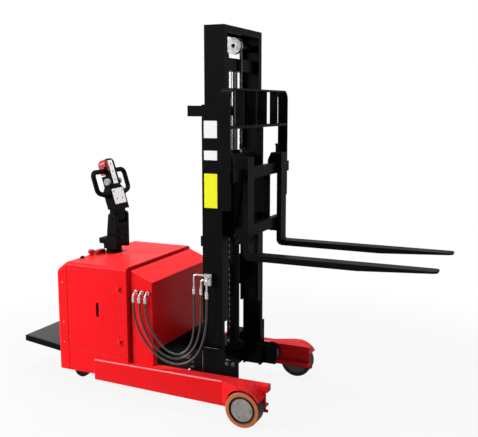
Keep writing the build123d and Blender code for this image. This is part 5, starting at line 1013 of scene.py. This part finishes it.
add_piece("battery_caps", [turned(cap_section, lid_top, upright, steps=20)], "red_plastic", "chassis")
post_out = 0.036
link_rise = 0.004
posts = np.concatenate([lid_top - (0.0, post_out, 0.0), lid_top + (0.0, post_out, 0.0)])
lid_rows = lid_top.reshape(cell_columns, cell_rows, 3)
link_places = ((lid_rows[:, :-1] + lid_rows[:, 1:]) / 2).reshape(-1, 3) + (0.0, 0.0, link_rise)
links = plates(link_places, x_way, y_way, half_u=0.009, half_v=0.030, corner=0.004,
               thickness=0.005, bevel=0.001)
add_piece("battery_links", [turned(post_section, posts, upright, steps=16), links], "bright_steel", "chassis")

# Stage: pale floor that fades into the white background, soft lights
floor_half = 30.0
floor_drop = -0.0005
floor_tone = 0.38
white_start, white_end = 1.7, 3.2
floor_line = [-floor_half, floor_half]
floor_grid = np.stack(np.meshgrid(floor_line, floor_line, [floor_drop], indexing="ij"), -1)
floor = bpy.data.objects.new("floor", grid_mesh("floor", [(floor_grid[:, :, 0], False, False)]))
scene.collection.objects.link(floor)
floor_pale = bpy.data.materials.new("floor_pale")
floor_pale.use_nodes = True
tree = floor_pale.node_tree
shader = tree.nodes["Principled BSDF"]
shader.inputs["Base Color"].default_value = rgb(floor_tone, floor_tone, floor_tone)
shader.inputs["Roughness"].default_value = 0.9
shader.inputs["Specular IOR Level"].default_value = 0.1


def seen_ray(tree):
    """1 for rays of the camera, of reflections and through glass, 0 for light that is scattered."""
    path = add_node(tree, "LightPath").outputs
    mirrored = calc(tree, "MAXIMUM", path["Is Glossy Ray"], path["Is Transmission Ray"])
    return calc(tree, "MAXIMUM", path["Is Camera Ray"], mirrored)


near_share = 0.90
from_middle = add_node(tree, "VectorMath", {0: object_place(tree)}, operation="LENGTH").outputs["Value"]
faded = spread(tree, from_middle, white_start, white_end, near_share, 1.0)
white_share = calc(tree, "MULTIPLY", faded, seen_ray(tree))
white = add_node(tree, "Emission", {"Color": rgb(1.0, 1.0, 1.0), "Strength": 1.0})
blend_out = add_node(tree, "MixShader", {0: white_share, 1: shader.outputs[0], 2: white.outputs[0]})
tree.links.new(blend_out.outputs[0], tree.nodes["Material Output"].inputs["Surface"])
floor.data.materials.append(floor_pale)

ambient_light = 0.07
world = bpy.data.worlds.new("studio")
scene.world = world
world.use_nodes = True
tree = world.node_tree
level = add_node(tree, "MapRange", {"Value": seen_ray(tree), "To Min": ambient_light, "To Max": 1.0})
tree.links.new(level.outputs["Result"], tree.nodes["Background"].inputs["Strength"])
tree.nodes["Background"].inputs["Color"].default_value = rgb(1.0, 1.0, 1.0)


def soft_light(name, place, aim, size, power):
    """A square soft light that looks at a point."""
    data = bpy.data.lights.new(name, "AREA")
    data.size = size
    data.energy = power
    light = bpy.data.objects.new(name, data)
    scene.collection.objects.link(light)
    light.location = place
    aim_from = np.asarray(place, float) - np.asarray(aim, float)
    spin = np.arctan2(aim_from[0], -aim_from[1])
    lean = np.arctan2(np.hypot(aim_from[0], aim_from[1]), aim_from[2])
    light.rotation_euler = (lean, 0.0, spin)


soft_light("key_light", place=(-4.4, -3.6, 2.8), aim=(-0.2, -0.2, 0.7), size=2.6, power=455.0)
soft_light("top_light", place=(0.0, 0.4, 5.0), aim=(-0.2, -0.1, 0.6), size=2.0, power=245.0)
soft_light("side_light", place=(4.2, -2.6, 2.6), aim=(0.2, 0.0, 0.9), size=2.5, power=5.0)
